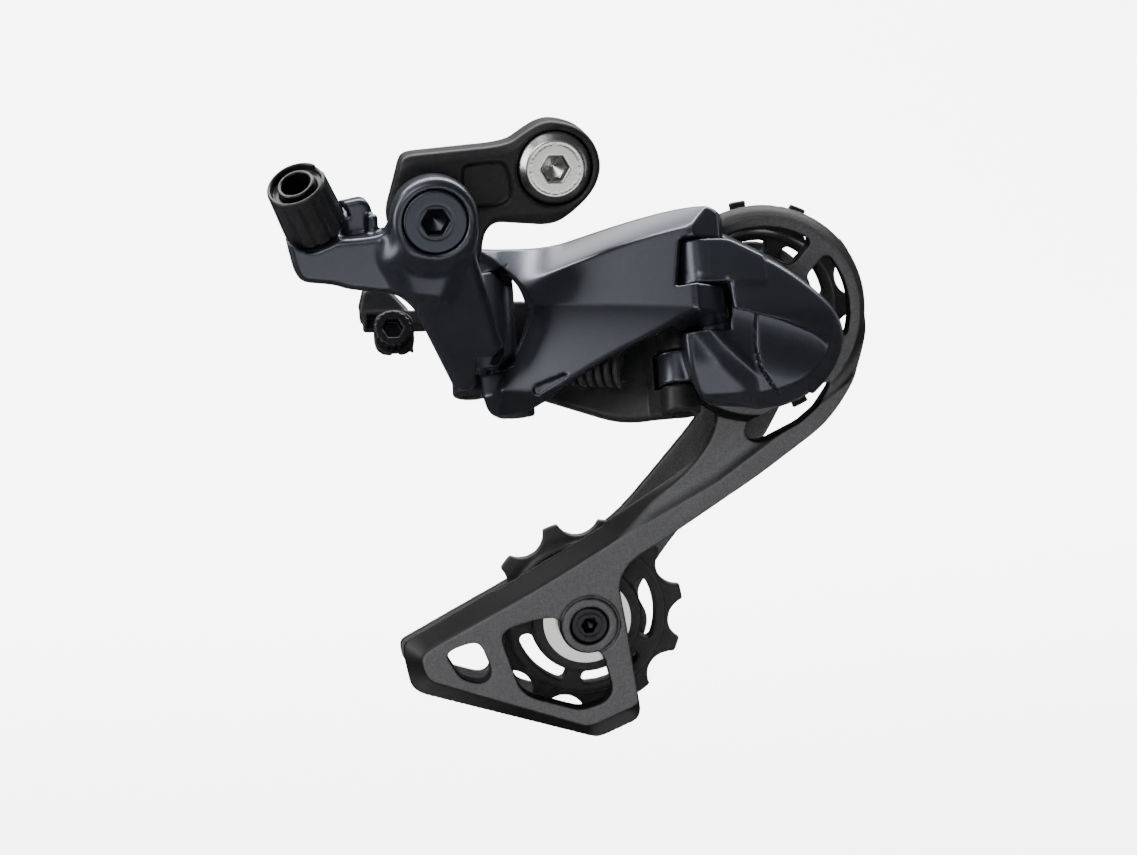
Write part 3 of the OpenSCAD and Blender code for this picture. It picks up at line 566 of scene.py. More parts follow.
# ---------------------------------------------------------------- rear body
barrel_arm = Outline([(-55.5, -12.9), (-54.0, -19.4), (-52.4, -21.8), (-46, -22.4), (-43, -23.4),
    (-35, -24.4), (-24, -26), (-20, -14), (-30, -10.4), (-38, -12.6), (-46.9, -13.1)],
    [1, 2, 2, 1.5, 1.5, 3, 1, 1, 3, 3, 3])
upper_panel = Outline([(-54.2, -12.5), (-45.6, -6.6), (-39.4, -5.4), (-37.8, -7.2), (-36.8, -12.0),
    (-31, -15), (-31, -22), (-50.8, -21.4), (-53.2, -18.6)], [1, 1.5, 1.2, 1, 1, 1, 1, 2, 1])
b_screw_lug = Outline([(-34.4, -16.4), (-30, -16.4), (-26.2, -19), (-24, -26), (-28, -29), (-34.4, -24)],
    1.0)


def slanted_bar(at, start, end, w0, w1, t0, t1, edge):
    """A rounded bar between two points, its width in the XZ plane and its thickness square to it."""
    a, b = np.array(start), np.array(end)
    axis = (b - a) / np.linalg.norm(b - a)
    across = np.cross(axis, (0, 1, 0))
    across /= np.linalg.norm(across)
    through = np.cross(axis, across)
    rel = [at[i] - a[i] for i in range(3)]
    along = sum(rel[i] * axis[i] for i in range(3))
    k = np.clip(along / np.linalg.norm(b - a), 0, 1)
    side = np.abs(sum(rel[i] * across[i] for i in range(3))) - (w0 + (w1 - w0) * k)
    depth = np.abs(sum(rel[i] * through[i] for i in range(3))) - (t0 + (t1 - t0) * k)
    ends = np.maximum(-along, along - np.linalg.norm(b - a))
    return meet(meet(side, depth, edge), ends, edge)


def rear_clearance(at):
    """Room for the bracket link over its turn and for the outer link over its swing."""
    x, y, z = at
    turn = np.minimum(circle(x, z, PIVOT, 9.7),
        np.minimum(sector(x, z, PIVOT, 16.8, -114, -20),
        np.minimum(sector(x, z, PIVOT, 14, -30, 64), sector(x, z, PIVOT, 14, 64, 158))))
    turn = np.minimum(turn, np.minimum(sector(x, z, PIVOT, 12.8, 150, 165),
        sector(x, z, PIVOT, 10.8, 150, 188)))
    bracket = np.maximum(turn, -8.4 - y)
    px, e, s = pin_frame(at)
    corner = np.maximum(np.maximum(-5.7 - px, e), np.where(px < 0, e + 3 + (px + 5.7) * -0.526, e))
    off_knuckle = np.minimum(s + 8.5, 13 - s)
    ears = np.maximum(np.minimum(np.hypot(px, e) - 5.8, corner), off_knuckle)
    reach = 1.4 - 1.1 * ramp(s - 9.6, 0.5) - 1.1 * ramp(-5.2 - s, 0.5)
    wall = np.maximum(np.maximum(reach - px + np.clip((e + 8) * 0.457, 0, 3.3), e + 1), -off_knuckle)
    u, v = px - SPREAD[0], e - SPREAD[1]
    ux, uv = LINK[0] / LINK_LEN, LINK[1] / LINK_LEN
    swing = np.maximum(6.1 - u * ux - v * uv, -4.4 + u * uv - v * ux)
    swing = np.minimum(swing, np.maximum(np.hypot(u, v) - 6.0, np.minimum(s + 4.1, 6.1 - s)))
    return np.minimum(np.minimum(bracket, swing), np.minimum(ears, wall))


def rear_body_field(at):
    x, y, z = at
    ring = meet(circle(x, z, PIVOT, 9.0), between(y, -16.0, -8.0), 1.7)
    lower = meet(barrel_arm(x, z), between(y, -12.9 + 0.05 * ramp(-x - 38), -4.0), 1.3)
    upper = meet(upper_panel(x, z), between(y, -7.4, -2.9), 0.9)
    base = join(lower, upper, 0.8)
    arm = slanted_bar(at, (-27.4, -11.2, -12.0), (-14.8, -2.0, -45.2), 8.8, 6.0, 4.4, 3.8, 2.4)
    lower_arm = slanted_bar(at, (-21.0, -5.0, -29.0), (-13.4, -0.6, -43.0), 5.0, 4.6, 4.0, 3.6, 2.0)
    body = join(join(ring, base, 3.2), arm, 3.4)
    body = join(body, lower_arm, 2.0)
    px, e, s = pin_frame(at)
    knuckle = meet(np.hypot(px, e) - 4.4, between(s, -8.5, 13.0), 0.4)
    inner = meet(np.hypot(px - SPREAD[0], e - SPREAD[1]) - 4.2, between(s, -4, 6), 0.4)
    web = meet(np.maximum(np.abs(px + 3.0) - 3.8, between(e, 0, 13)), between(s, -3.9, 5.9), 0.6)
    filler = meet(np.maximum(np.abs(px + 1.2) - 5.0, between(e, 0, 7)), between(s, -4, 11.5), 0.8)
    body = join(join(join(body, knuckle, 1.2), inner, 0.8), join(web, filler, 1.0), 1.2)
    lug = meet(b_screw_lug(x, z), between(y, -9.4, -1.4), 0.6)
    body = join(body, lug, 1.0)
    bx, by, bz = barrel_frame(at)
    boss = meet(np.hypot(bx, by) - 5.6, between(bz, -7, 0), 0.8)
    body = join(body, boss, 1.4)
    rib = np.hypot(x + 37.6, y + 8.4) - 1.1
    rib = meet(rib, between(z, -14, -8.6), 0.8)
    body = join(body, rib, 1.2)
    body = cut(body, rear_clearance(at), 0.6)
    seat = rod(at, PIVOT, -20, -13.1, 6.7, 0.1)
    bore = rod(at, PIVOT, -20, 0, 5.5, 0.1)
    body = cut(cut(body, seat, 0.35), bore, 0.2)
    hole = meet(np.hypot(bx, by) - 3.0, between(bz, -20, 2), 0.1)
    knob_room = np.minimum(meet(np.hypot(bx, by) - 7.2, between(bz, 0, 22), 0.2),
        meet(np.hypot(bx, by) - 4.9, between(bz, -1.6, 2), 0.1))
    body = cut(cut(body, hole, 0.2), knob_room, 0.4)
    b_hole = meet(np.hypot(y + 4.4, z + 20.5) - 1.8, between(x, -36, -18), 0.1)
    body = cut(body, b_hole, 0.2)
    for pin in ((0.0, 0.0), SPREAD):
        body = cut(body, np.hypot(px - pin[0], e - pin[1]) - 1.9, 0.2)
    for height in (-1.5, 3.4):
        well = meet(np.hypot(e - 6.5, s - height) - 2.35, between(px, -12, -6.9), 0.1)
        bore = meet(np.hypot(e - 6.5, s - height) - 1.55, between(px, -12, 10), 0.1)
        body = cut(cut(body, well, 0.2), bore, 0.1)
    return body


sculpt("rear_body_casting", "rear_knuckle", ["rear_body"], rear_body_field, 0.42, BODY)


# ---------------------------------------------------------------- bracket link and its bolts
bracket_side = Outline([(-33.2, -3.9), (-31.6, 2.2), (-30.2, 3.2), (-9.8, 4.9), (-6.6, 7.2), (-3.2, 9.3),
    (0, 9.8), (5.0, 8.4), (8.4, 5.0), (9.8, 0), (8.2, -4.8), (4.6, -8.6), (1, -11.4), (-2, -12),
    (-12.6, -11.0), (-14.6, -13.2), (-16, -22.6), (-20, -22.6), (-20, -18.4), (-25.4, -18.5),
    (-30.4, -17.0), (-33.6, -13.4), (-34.7, -9.2)],
    [2, 1.6, 1.6, 5, 4, 4, 4, 4, 4, 4, 4, 3, 1.6, 1.6, 2, 2, 1, 1, 1, 4, 4, 4, 3])
bracket_face = Outline([(-33.0, -5.2), (-31.6, 0.4), (-29.6, 1.4), (-10.0, 3.0), (-6.4, 5.4), (-3.2, 7.4),
    (0, 8.6), (5.0, 7.6), (8.0, 4.6), (9.3, 0), (7.9, -4.6), (4.4, -8.0), (-1, -9.6), (-12.4, -9.6),
    (-14.8, -12.0), (-16.6, -20), (-25.4, -18.0), (-34.0, -12.0)],
    [2, 1.6, 1.6, 5, 4, 4, 4, 4, 4, 4, 4, 3, 3, 2, 2, 2, 3, 3])
bracket_pocket = Outline([(-19.0, 0.9), (-10.4, 1.6), (-9.2, -2.0), (-9.0, -6.2), (-11.6, -7.8),
    (-19.0, -7.8)], [1.5, 2, 2, 2, 2, 1.5])


def bracket_field(at):
    x, y, z = at
    face = -8.0 + 0.55 * ramp(bracket_face(x, z), 0.4)
    body = meet(meet(bracket_side(x, z), y, 0.6), face - y, 0.5)
    body = cut(body, meet(bracket_pocket(x, z), y + 6.4, 0.6), 0.6)
    head = rod(at, (0, 0), -20, -5.4, 7.9, 0.3)
    body = cut(cut(body, head, 0.35), rod(at, (0, 0), -20, 9, 5.55, 0.1), 0.2)
    body = cut(body, rod(at, (0, 0), -1.8, 9, 6.9, 0.1), 0.2)
    return cut(body, rod(at, PIVOT, -20, -0.8, 4.0, 0.1), 0.2)


sculpt("bracket_link_plate", "bracket", ["bracket_link"], bracket_field, 0.40, BLACK_PAINT)


def socket_head(at, centre, y0, depth, r):
    """Hexagon socket along Y, with a pointed drilled floor."""
    hexa = hexagon(at[0], at[2], centre, r)
    floor = at[1] - (y0 + depth) + 0.45 * (np.hypot(at[0] - centre[0], at[2] - centre[1]) - 1.0)
    return meet(hexa, floor, 0.1)


def hanger_bolt_field(at):
    x, y, z = at
    r = np.hypot(x, z)
    head = meet(meet(r - 7.6, between(y, -8.5, -5.4), 0.15), (r - 5.9) * 0.607 - (y + 8.5) * 0.794, 0.15)
    head = np.maximum(head, -(np.maximum(r - 5.2, -8.42 - y)))
    face = meet(r - 5.2, between(y, -8.45, -5.4), 0.1)
    shank = np.minimum(meet(r - 5.5, between(y, -5.5, -1.35), 0.2), meet(r - 4.8, between(y, -1.4, 1), 0.1))
    collar = meet(r - 5.5, between(y, -0.25, 0), 0.05)
    ridge = 4.62 + 0.38 * np.clip(1.6 * np.abs(((y - np.arctan2(z, x) / (2 * math.pi)) % 1.0) - 0.5) * 2
        - 0.3, 0, 1)
    thread = meet(r - ridge, between(y, -0.1, 9), 0.5) * 0.7
    body = np.minimum(np.minimum(head, face), np.minimum(shank, np.minimum(collar, thread)))
    return cut(body, socket_head(at, (0, 0), -8.5, 3.6, 2.9), 0.15)


sculpt("hanger_bolt_turned", "hanger", ["hanger_bolt"], hanger_bolt_field, 0.22, BRIGHT,
    0.5)


def pivot_bolt_field(at):
    x, y, z = at
    head = rod(at, PIVOT, -16.0, -13.2, 6.5, 0.35)
    body = np.minimum(head, np.minimum(rod(at, PIVOT, -13.3, -8, 4.5, 0.2),
        rod(at, PIVOT, -8.1, -0.8, 4.0, 0.3)))
    groove = np.abs(np.hypot(x - PIVOT[0], z - PIVOT[1]) - 3.6) - 0.12
    body = cut(body, np.maximum(groove, y + 15.9), 0.06)
    return cut(body, socket_head(at, PIVOT, -16.0, 4.2, 2.9), 0.2)


sculpt("pivot_bolt_turned", "bracket", ["pivot_bolt"], pivot_bolt_field, 0.24, DARK_STEEL,
    0.5)

# ---------------------------------------------------------------- barrel adjuster
KNOB_R = 6.5


def barrel_knob_field(at):
    x, y, z = barrel_frame(at)
    r = np.hypot(x, y)
    turn = np.arctan2(y, x)
    wide = KNOB_R - 0.35 * np.clip((z - 2.0) / 11, 0, 1)
    flute = 0.34 * np.clip(np.cos(12 * turn) * 2.2 - 0.9, 0, 1) * np.clip((12.0 - z) * 1.2, 0, 1)
    body = meet(r - wide + flute, between(z, 0.6, BARREL_LEN), 0.55) * 0.85
    body = cut(body, meet(r - 3.95, between(z, -1, 20), 0.1), 0.25)
    body = cut(body, np.maximum(np.maximum(r - 5.35, 3.95 - r), 11.2 - z), 0.3)
    body = cut(body, meet(r - 5.4, between(z, -1, 2.2), 0.1), 0.2)
    notch = np.maximum(np.maximum(np.abs(turn - 2.5) - 0.30, 5.2 - r), 11.9 - z)
    return cut(body, notch, 0.15)


sculpt("barrel_knob_moulded", "barrel", ["barrel_knob"], barrel_knob_field, 0.3, PLASTIC)


def barrel_screw_field(at):
    x, y, z = barrel_frame(at)
    r = np.hypot(x, y)
    ridge = 2.62 + 0.33 * np.clip(1.6 * np.abs(((z / 0.8 - np.arctan2(y, x) / (2 * math.pi)) % 1.0) - 0.5)
        * 2 - 0.3, 0, 1)
    thread = meet(r - ridge, between(z, -10, 2.4), 0.3) * 0.7
    sleeve = meet(r - 3.9, between(z, 2.2, BARREL_LEN), 0.35)
    body = np.minimum(thread, sleeve)
    body = cut(body, meet(r - 3.05, 4 - z, 0.2), 0.3)
    return cut(body, meet(r - 1.1, between(z, -20, 8), 0.1), 0.15)


sculpt("barrel_screw_turned", "barrel", ["barrel_screw"], barrel_screw_field, 0.25,
    BLACK_STEEL, 0.6)

# ---------------------------------------------------------------- inner link with the cable clamp's arm
inner_side = Outline([(-9, -10), (4, -10), (26, -21.3), (42, -21.3), (42, -1.6), (30, -1.6), (8, 10),
    (-9, 10)], [1, 5, 5, 1, 1, 4, 6, 1])
clamp_face = Outline([(-37.5, -31.5), (-33.2, -30.6), (-31, -32.4), (-27.5, -36.2), (-22.6, -43.6),
    (-24, -45.4), (-30, -43.4), (-39, -37.6)], 0.8)
clamp_side = Outline([(-27, 13), (-27, 18), (-14, 19), (-4, 17), (-4, 9), (-13, 13)], [0.5, 1, 3, 2, 1, 4])


def inner_link_field(at):
    x, e, s = pin_frame(at)
    px, pe = x - SPREAD[0], e - SPREAD[1]
    ux, ue = LINK[0] / LINK_LEN, LINK[1] / LINK_LEN
    t, w = px * ux + pe * ue, -px * ue + pe * ux
    bar = np.maximum(between(t, 0, LINK_LEN),
        np.maximum(w - 2.3 - 1.7 * np.clip(1 - t / 7, 0, 1) - 1.7 * np.clip((t - LINK_LEN + 7) / 7, 0, 1),
        -0.6 - w - 3.2 * np.clip(1 - t / 7, 0, 1) - 3.2 * np.clip((t - LINK_LEN + 7) / 7, 0, 1)))
    plan = np.minimum(bar, np.minimum(np.hypot(t, w) - 4.2, np.hypot(t - LINK_LEN, w) - 4.2))
    body = meet(plan * 0.9, inner_side(x, s), 0.9)
    arm = meet(clamp_side(x, e), between(s, 6.3, 10), 0.6)
    block = meet(clamp_face(at[0], at[2]), np.maximum(between(e, 13, 17.6), at[1] - 30.6), 0.6)
    body = join(body, arm, 0.8)
    body = join(body, block, 0.5)
    body = cut(body, meet(meet(between(x, -26.2, -23.8), e - 15.6, 0.1), between(s, 5.0, 9.0), 0.2), 0.2)
    gap_rear = np.maximum(np.maximum(t - 6.6, np.abs(w) - 8), between(s, -4.3, 6.3))
    gap_front = np.maximum(np.minimum(np.hypot(t - LINK_LEN, w) - 5.2, LINK_LEN - 0.3 - t),
        between(s, -15.6, -8))
    body = cut(cut(body, np.maximum(gap_rear, np.abs(px) - 12), 0.4), gap_front, 0.4)
    body = cut(body, np.hypot(t, w) - 1.95, 0.2)
    body = cut(body, np.hypot(t - LINK_LEN, w) - 1.9, 0.2)
    return cut(body, np.maximum(np.hypot(x + 21, s - 4.6) - 2.5, 12 - e), 0.2)


sculpt("inner_link_casting", "inner_arm", ["inner_link"], inner_link_field, 0.4, LINK_BLACK)


# ---------------------------------------------------------------- cage plates
CAGE_FRONT, CAGE_BACK, PLATE_Y, INNER_Y, INNER_T = 3.6, 8.4, 7.5, 15.5, 1.6
SPOKES = (50, 122, 194, 266, 338)
arm_front = Outline([(38, -50), (38.2, -58), (36.8, -63), (33.2, -68), (29.2, -71.9), (22.8, -77.4),
    (16.2, -82.4), (-1.9, -93.4), (-26, -106.3), (-27.9, -108.2), (-27.5, -110.4), (-26.3, -113.6),
    (9.0, -126.0), (20.2, -121.2), (19.9, -118.5), (17.0, -101.1), (15.6, -94.2), (16.2, -91.4),
    (18.6, -87.8), (24, -84.7), (46, -70.1), (59.8, -59.8), (63.6, -55.2), (66.9, -49.4), (69, -43.4),
    (69.9, -37), (64, -32), (46, -44)], [3, 4, 3, 3, 3, 3, 6, 8, 2.4, 1.4, 1.4, 2.2, 2.0, 1.6, 2, 8, 3,
    2.6, 3, 4, 4, 4, 3, 3, 3, 4, 1, 1])
arm_back = Outline([(37.4, -50), (37.2, -58), (35.4, -62.6), (31.8, -67.4), (27.8, -70.6), (21.4, -74.8),
    (14.4, -79.4), (-9.2, -93.2), (-29.4, -104.4), (-31.4, -106.0), (-31.2, -109.6), (-29.8, -115.9),
    (-27.6, -117.6), (10.8, -129.6), (12.6, -129.4), (20.4, -126.0), (21.2, -123.8), (18.4, -108),
    (16.6, -101), (15.4, -94), (16.2, -91), (24, -84.6), (46, -70.1), (59.8, -59.8), (63.6, -55.2),
    (66.9, -49.4), (69, -43.4), (69.9, -37), (64, -32), (46, -44)],
    [3, 4, 3, 3, 3, 3, 8, 8, 2.4, 1.4, 2, 2, 1.6, 1.6, 1.6, 1.6, 2, 8, 8, 3, 3, 4, 4, 4, 3, 3, 3, 4, 1, 1])
arm_pocket = Outline([(38, -52), (37.6, -60), (33.2, -67.0), (23, -74.8), (-24, -103.4), (-28, -108.4),
    (-26, -113.4), (10, -126.2), (18.6, -121.8), (15.6, -101), (14.6, -93), (16, -90), (46, -69),
    (60, -58), (70, -42)], 1.5)
big_window = Outline([(-10.3, -104.4), (-8.8, -102.4), (-2.2, -100.6), (1.4, -100.4), (10, -108),
    (12.2, -109.4), (14.4, -117.6), (12.8, -120.2), (7.4, -121.9), (-4, -118.3), (-6.5, -115.8)],
    [1.6, 1.8, 2, 1, 1, 1.5, 2, 2, 2, 2.4, 2])
small_window = Outline([(-22.4, -107.8), (-20.4, -106.4), (-16.2, -105.2), (-14.6, -106.2),
    (-12.5, -111.6), (-13, -113.9), (-15.2, -114.7), (-19.2, -113.3)], 1.5)
foot_window = Outline([(44.2, -58.2), (43.3, -61), (44.8, -62.6), (47, -62.4), (54.9, -58.5),
    (58.4, -55.4), (61.6, -50.4), (60.8, -49.4), (55, -53.4), (49, -55.4)], 1.3)


def cage_plate_field(at):
    x, y, z = at
    gx, gz = x - GUIDE[0], z - GUIDE[1]
    r = np.hypot(gx, gz)
    front = join(arm_front(x, z), r - 22.7, 1.5)
    back = join(arm_back(x, z), r - 23.6, 1.5)
    k = np.clip((y - CAGE_FRONT - 0.5) / (PLATE_Y - CAGE_FRONT - 0.6), 0, 1)
    side = front * (1 - k) + back * k
    body = meet(side * 0.85, between(y, CAGE_FRONT, CAGE_BACK), 0.55)
    above = 0.872 * (z + 107.9 - 0.561 * (x + 27.7) - 0.184 * np.maximum(x - 37.2, 0))
    dish = 2.8 * (1 - np.exp(-ramp(above - 0.2, 0.3) / 2.6))
    dish = dish * np.clip((x - 10) / 13, 0, 1) * np.clip((r - 21.5) / 2.5, 0, 1)
    body = meet(body, CAGE_FRONT + dish - y, 0.35)
    hub = circle(x, z, TENSION, 0)
    moat = np.maximum(np.abs(hub - 6.5) - 0.28, y - 4.0)
    body = join(body, rod(at, TENSION, CAGE_FRONT, CAGE_BACK, 7.2, 0.4), 0.4)
    body = cut(body, moat, 0.15)
    body = join(body, rod(at, P_AXIS, 3.3, PLATE_Y, 12.0, 0.2), 0.3)
    inside = np.minimum(arm_pocket(x, z), np.minimum(r - 27.0, hub - 22.6))
    body = cut(body, meet(inside, PLATE_Y - y, 0.6), 0.3)
    spoke = np.full(x.shape, 99.0)
    for a in SPOKES:
        ca, sa = math.cos(math.radians(a)), math.sin(math.radians(a))
        spoke = np.where(gx * ca + gz * sa > 0, np.minimum(spoke, np.abs(-gx * sa + gz * ca)), spoke)
    ring_window = meet(between(r, 12.4, 19.3), 2.0 - spoke, 1.6)
    holes = np.minimum(ring_window, np.maximum(big_window(x, z), 6.5 - hub))
    holes = np.minimum(holes, np.minimum(small_window(x, z), foot_window(x, z)))
    body = cut(body, holes, 0.45)
    body = cut(body, rod(at, P_AXIS, 0, 5.2, 4.05, 0.1), 0.2)
    body = cut(body, np.maximum(hub - 2.55, -20 - y), 0.2)
    body = cut(body, np.maximum(hub - 4.2, y - 4.6), 0.25)
    return cut(body, np.maximum(r - 2.5, 5.4 - y), 0.2)


sculpt("outer_cage_plate_forged", "cage", ["outer_cage_plate"], cage_plate_field, 0.4,
    CAGE, 1.0)

inner_plate_side = Outline([(34.6, -44), (35.4, -57), (33.6, -60.4), (24.2, -71.9), (15, -82.6),
    (-20, -101.6), (-31.6, -108.0), (-31, -112), (-27, -115.6), (6, -124.0), (19.5, -121.0), (24.4, -105),
    (21.0, -99.0), (31, -84), (48, -68), (59, -46), (52, -36)],
    [2, 4, 4, 8, 8, 8, 1.4, 1.4, 3, 2, 2, 3, 3, 8, 8, 8, 4])
inner_small_window = Outline([(-23.4, -109.6), (-20.4, -107.4), (-14.6, -106.0), (-12.6, -107.4),
    (-11.0, -112.6), (-12.4, -115.4), (-14.4, -116.0), (-20.6, -114.0)], 1.6)
inner_window = Outline([(-8.8, -108.4), (-7.4, -105.4), (-1, -103.6), (9, -104), (14.5, -110),
    (15.6, -118.6), (6.6, -121.2), (-4, -118.6), (-6.0, -117.4)], 1.6)


def inner_plate_field(at):
    x, y, z = at
    r = circle(x, z, GUIDE, 0)
    side = join(inner_plate_side(x, z), r - 14.0, 3.0)
    body = meet(side, between(y, INNER_Y, INNER_Y + INNER_T), 0.45)
    body = cut(body, meet(side + 3.2, INNER_Y + INNER_T - 0.4 - y, 0.2), 0.3)
    body = join(body, meet(r - 7, between(y, INNER_Y, INNER_Y + INNER_T), 0.3), 0.4)
    body = join(body, meet(circle(x, z, TENSION, 6.6), between(y, INNER_Y, INNER_Y + INNER_T), 0.3), 0.4)
    windows = np.minimum(inner_small_window(x, z),
        np.maximum(inner_window(x, z), -circle(x, z, TENSION, 6.8)))
    body = cut(body, windows, 0.4)
    return cut(cut(body, r - 2.5, 0.2), circle(x, z, TENSION, 2.5), 0.2)


sculpt("inner_cage_plate_pressed", "cage", ["inner_cage_plate"], inner_plate_field, 0.5,
    CAGE, 0.8)

# ---------------------------------------------------------------- pulleys
TEETH, ROOT_R, GULLET_R, MID_Y = 11, 18.6, 4.9, 11.5


def pulley_field(centre, tip_r, phase, bore_r, slot_start):
    def field(at):
        x, y, z = at[0] - centre[0], at[1] - MID_Y, at[2] - centre[1]
        r, turn = np.hypot(x, z), np.degrees(np.arctan2(z, x))
        pitch = 360 / TEETH
        off = (turn - phase) % pitch - pitch / 2
        u = r * np.cos(np.radians(off)) - ROOT_R - GULLET_R
        v = r * np.sin(np.radians(off))
        teeth = meet(r - tip_r, GULLET_R - np.hypot(u, v), 0.35)
        thick = 1.1 - 0.5 * np.clip((r - ROOT_R - 1.0) / 3.5, 0, 1)
        body = meet(teeth, np.abs(y) - thick, 0.3)
        rim = meet(r - ROOT_R + 1.0, np.abs(y) - 1.8, 0.5)
        hub = meet(r - 12.0, np.abs(y) - 3.4, 0.5)
        body = join(np.minimum(body, rim), hub, 0.5)
        body = join(body, meet(np.abs(r - 16.6) - 0.45, np.abs(y) - 2.05, 0.2), 0.3)
        mid = slot_start + 57 / 2
        swing = (turn - mid + 36) % 72 - 36
        gap = meet(between(r, 12.5, 15.4), (np.abs(swing) - 28.5) * np.radians(1) * 14.0, 1.2)
        body = cut(body, gap, 0.3)
        return cut(body, r - bore_r, 0.3)
    return field


sculpt("guide_pulley_moulded", "guide_wheel", ["guide_pulley"],
    pulley_field(GUIDE, 24.0, 2, 5.0, 10), 0.42, RESIN, 0.5)
sculpt("tension_pulley_moulded", "tension_wheel", ["tension_pulley"],
    pulley_field(TENSION, 22.0, 12.7, 8.4, 50), 0.42, RESIN, 0.5)


def tension_bolt_field(at):
    body = np.minimum(rod(at, TENSION, 3.75, 4.6, 4.05, 0.3), rod(at, TENSION, 4.4, 17.9, 2.5, 0.4))
    ring = np.maximum(np.abs(circle(at[0], at[2], TENSION, 2.7)) - 0.1, at[1] - 3.85)
    return cut(cut(body, ring, 0.05), socket_head(at, TENSION, 3.9, 2.6, 1.73), 0.12)


sculpt("tension_bolt_turned", "cage", ["tension_bolt"], tension_bolt_field, 0.2,
    BLACK_STEEL, 0.4)


def guide_bolt_field(at):
    body = np.minimum(rod(at, GUIDE, 5.4, 17.2, 2.5, 0.2), rod(at, GUIDE, 17.1, 18.7, 4.0, 0.45))
    hexa = hexagon(at[0], at[2], GUIDE, 1.73)
    return cut(body, np.maximum(hexa, 16.9 - at[1]), 0.12)


sculpt("guide_bolt_turned", "cage", ["guide_bolt"], guide_bolt_field, 0.2, BLACK_STEEL, 0.4)

# ---------------------------------------------------------------- cable clamp
def cable_bolt_field(at):
    x, e, s = pin_frame(at)
    r = np.hypot(x + 21, s - 4.6)
    head = meet(r - 4.0 + 0.12 * np.cos(18 * np.arctan2(s - 4.6, x + 21)), between(e, 8.4, 11.4), 0.4)
    body = np.minimum(head, meet(r - 2.45, between(e, 11.2, 18.0), 0.3))
    return cut(body, np.maximum(hexagon(x, s, (-21, 4.6), 2.3), e - 10.6), 0.15)


sculpt("cable_bolt_turned", "cable_clamp", ["cable_bolt"], cable_bolt_field, 0.22,
    BLACK_STEEL, 0.5)


def cable_plate_field(at):
    x, e, s = pin_frame(at)
    side = meet(np.hypot(x + 20.6, s - 4.4) - 5.2, between(x, -25.0, -16.2), 0.8)
    body = meet(side, between(e, 11.4, 13.0), 0.35)
    trough = np.hypot(x + 17.4, e - 13.2) - 0.7
    return cut(cut(body, np.hypot(x + 21, s - 4.6) - 2.5, 0.2), trough, 0.2)


sculpt("cable_plate_pressed", "inner_arm", ["cable_plate"], cable_plate_field, 0.25,
    BLACK_STEEL, 0.5)


# ---------------------------------------------------------------- springs
def coil_piece(name, body, node, path, wire, material):
    """Round wire along a path of points."""
    points = np.array(path)
    sides = 10
    along = np.gradient(points, axis=0)
    along /= np.linalg.norm(along, axis=1)[:, None]
    normal = np.cross(along[0], (0.3, 0.5, 0.8))
    rings = []
    for centre, axis in zip(points, along):
        normal = normal - axis * np.dot(normal, axis)
        normal /= np.linalg.norm(normal)
        other = np.cross(axis, normal)
        for k in range(sides):
            a = 2 * math.pi * k / sides
            rings.append(centre + wire * (math.cos(a) * normal + math.sin(a) * other))
    faces = [(i * sides + k, i * sides + (k + 1) % sides, (i + 1) * sides + (k + 1) % sides, (i + 1)
        * sides + k) for i in range(len(points) - 1) for k in range(sides)]
    last = (len(points) - 1) * sides
    mesh = bpy.data.meshes.new(name)
    caps = [tuple(range(sides - 1, -1, -1)), tuple(range(last, last + sides))]
    mesh.from_pydata([tuple(p * MM) for p in rings], [], faces + caps)
    mesh.shade_smooth()
    piece = bpy.data.objects.new(name, mesh)
    bpy.context.collection.objects.link(piece)
    mesh.materials.append(material)
    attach(piece, body)
    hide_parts(node)


def helix(start, axis, across, r, length, turns, steps=32):
    """Points on a helix of even pitch."""
    axis = np.array(axis) / np.linalg.norm(axis)
    across = np.array(across) - axis * np.dot(across, axis)
    across /= np.linalg.norm(across)
    third = np.cross(axis, across)
    count = int(steps * turns)
    out = []
    for i in range(count + 1):
        a = 2 * math.pi * turns * i / count
        out.append(np.array(start) + axis * length * i / count + r
            * (math.cos(a) * across + math.sin(a) * third))
    return out


def from_pin_frame(x, e, s):
    c, k = math.cos(PIN_SLANT), math.sin(PIN_SLANT)
    return np.array((PIN_ORIGIN[0] + x, PIN_ORIGIN[1] + e * c + s * k, PIN_ORIGIN[2] - e * k + s * c))


spring_start = from_pin_frame(11.5, -4.9, -8.2)
spring_axis = from_pin_frame(11.5 + 18, -4.9 - 6.6, -8.2 - 3.4) - spring_start
coil_piece("return_spring_wound", "inner_arm", "return_spring",
    helix(spring_start, spring_axis, (0, 0, 1), 3.7, 15.0, 7.5), 0.8, SPRING)
coil_piece("cage_spring_wound", "cage", "cage_spring",
    helix((P_AXIS[0], 1.7, P_AXIS[1]), (0, -1, 0), (1, 0, 0), 7.75, 5.75, 2.75), 0.95, SPRING)
bx0 = np.array(BARREL_BASE)
barrel_axis = np.array((math.sin(BARREL_TILT) * math.cos(BARREL_HEADING), math.sin(BARREL_TILT)
    * math.sin(BARREL_HEADING), math.cos(BARREL_TILT)))
coil_piece("barrel_spring_wound", "barrel", "barrel_spring",
    helix(bx0 - 1.25 * barrel_axis, barrel_axis, (1, 0, 0), 4.3, 3.0, 3.5), 0.35, PLAIN_STEEL_PAINTED_SHADE)


# ---------------------------------------------------------------- floor, light and camera
FLOOR_Z = -0.24
LENS_MM = 89.29
SENSOR_MM = 36.0
CAMERA_PLACE = (-0.077096, -0.576184, 0.088242)
CAMERA_AZIMUTH = -8
CAMERA_ELEVATION = 14
WORLD_STRENGTH = 0.08


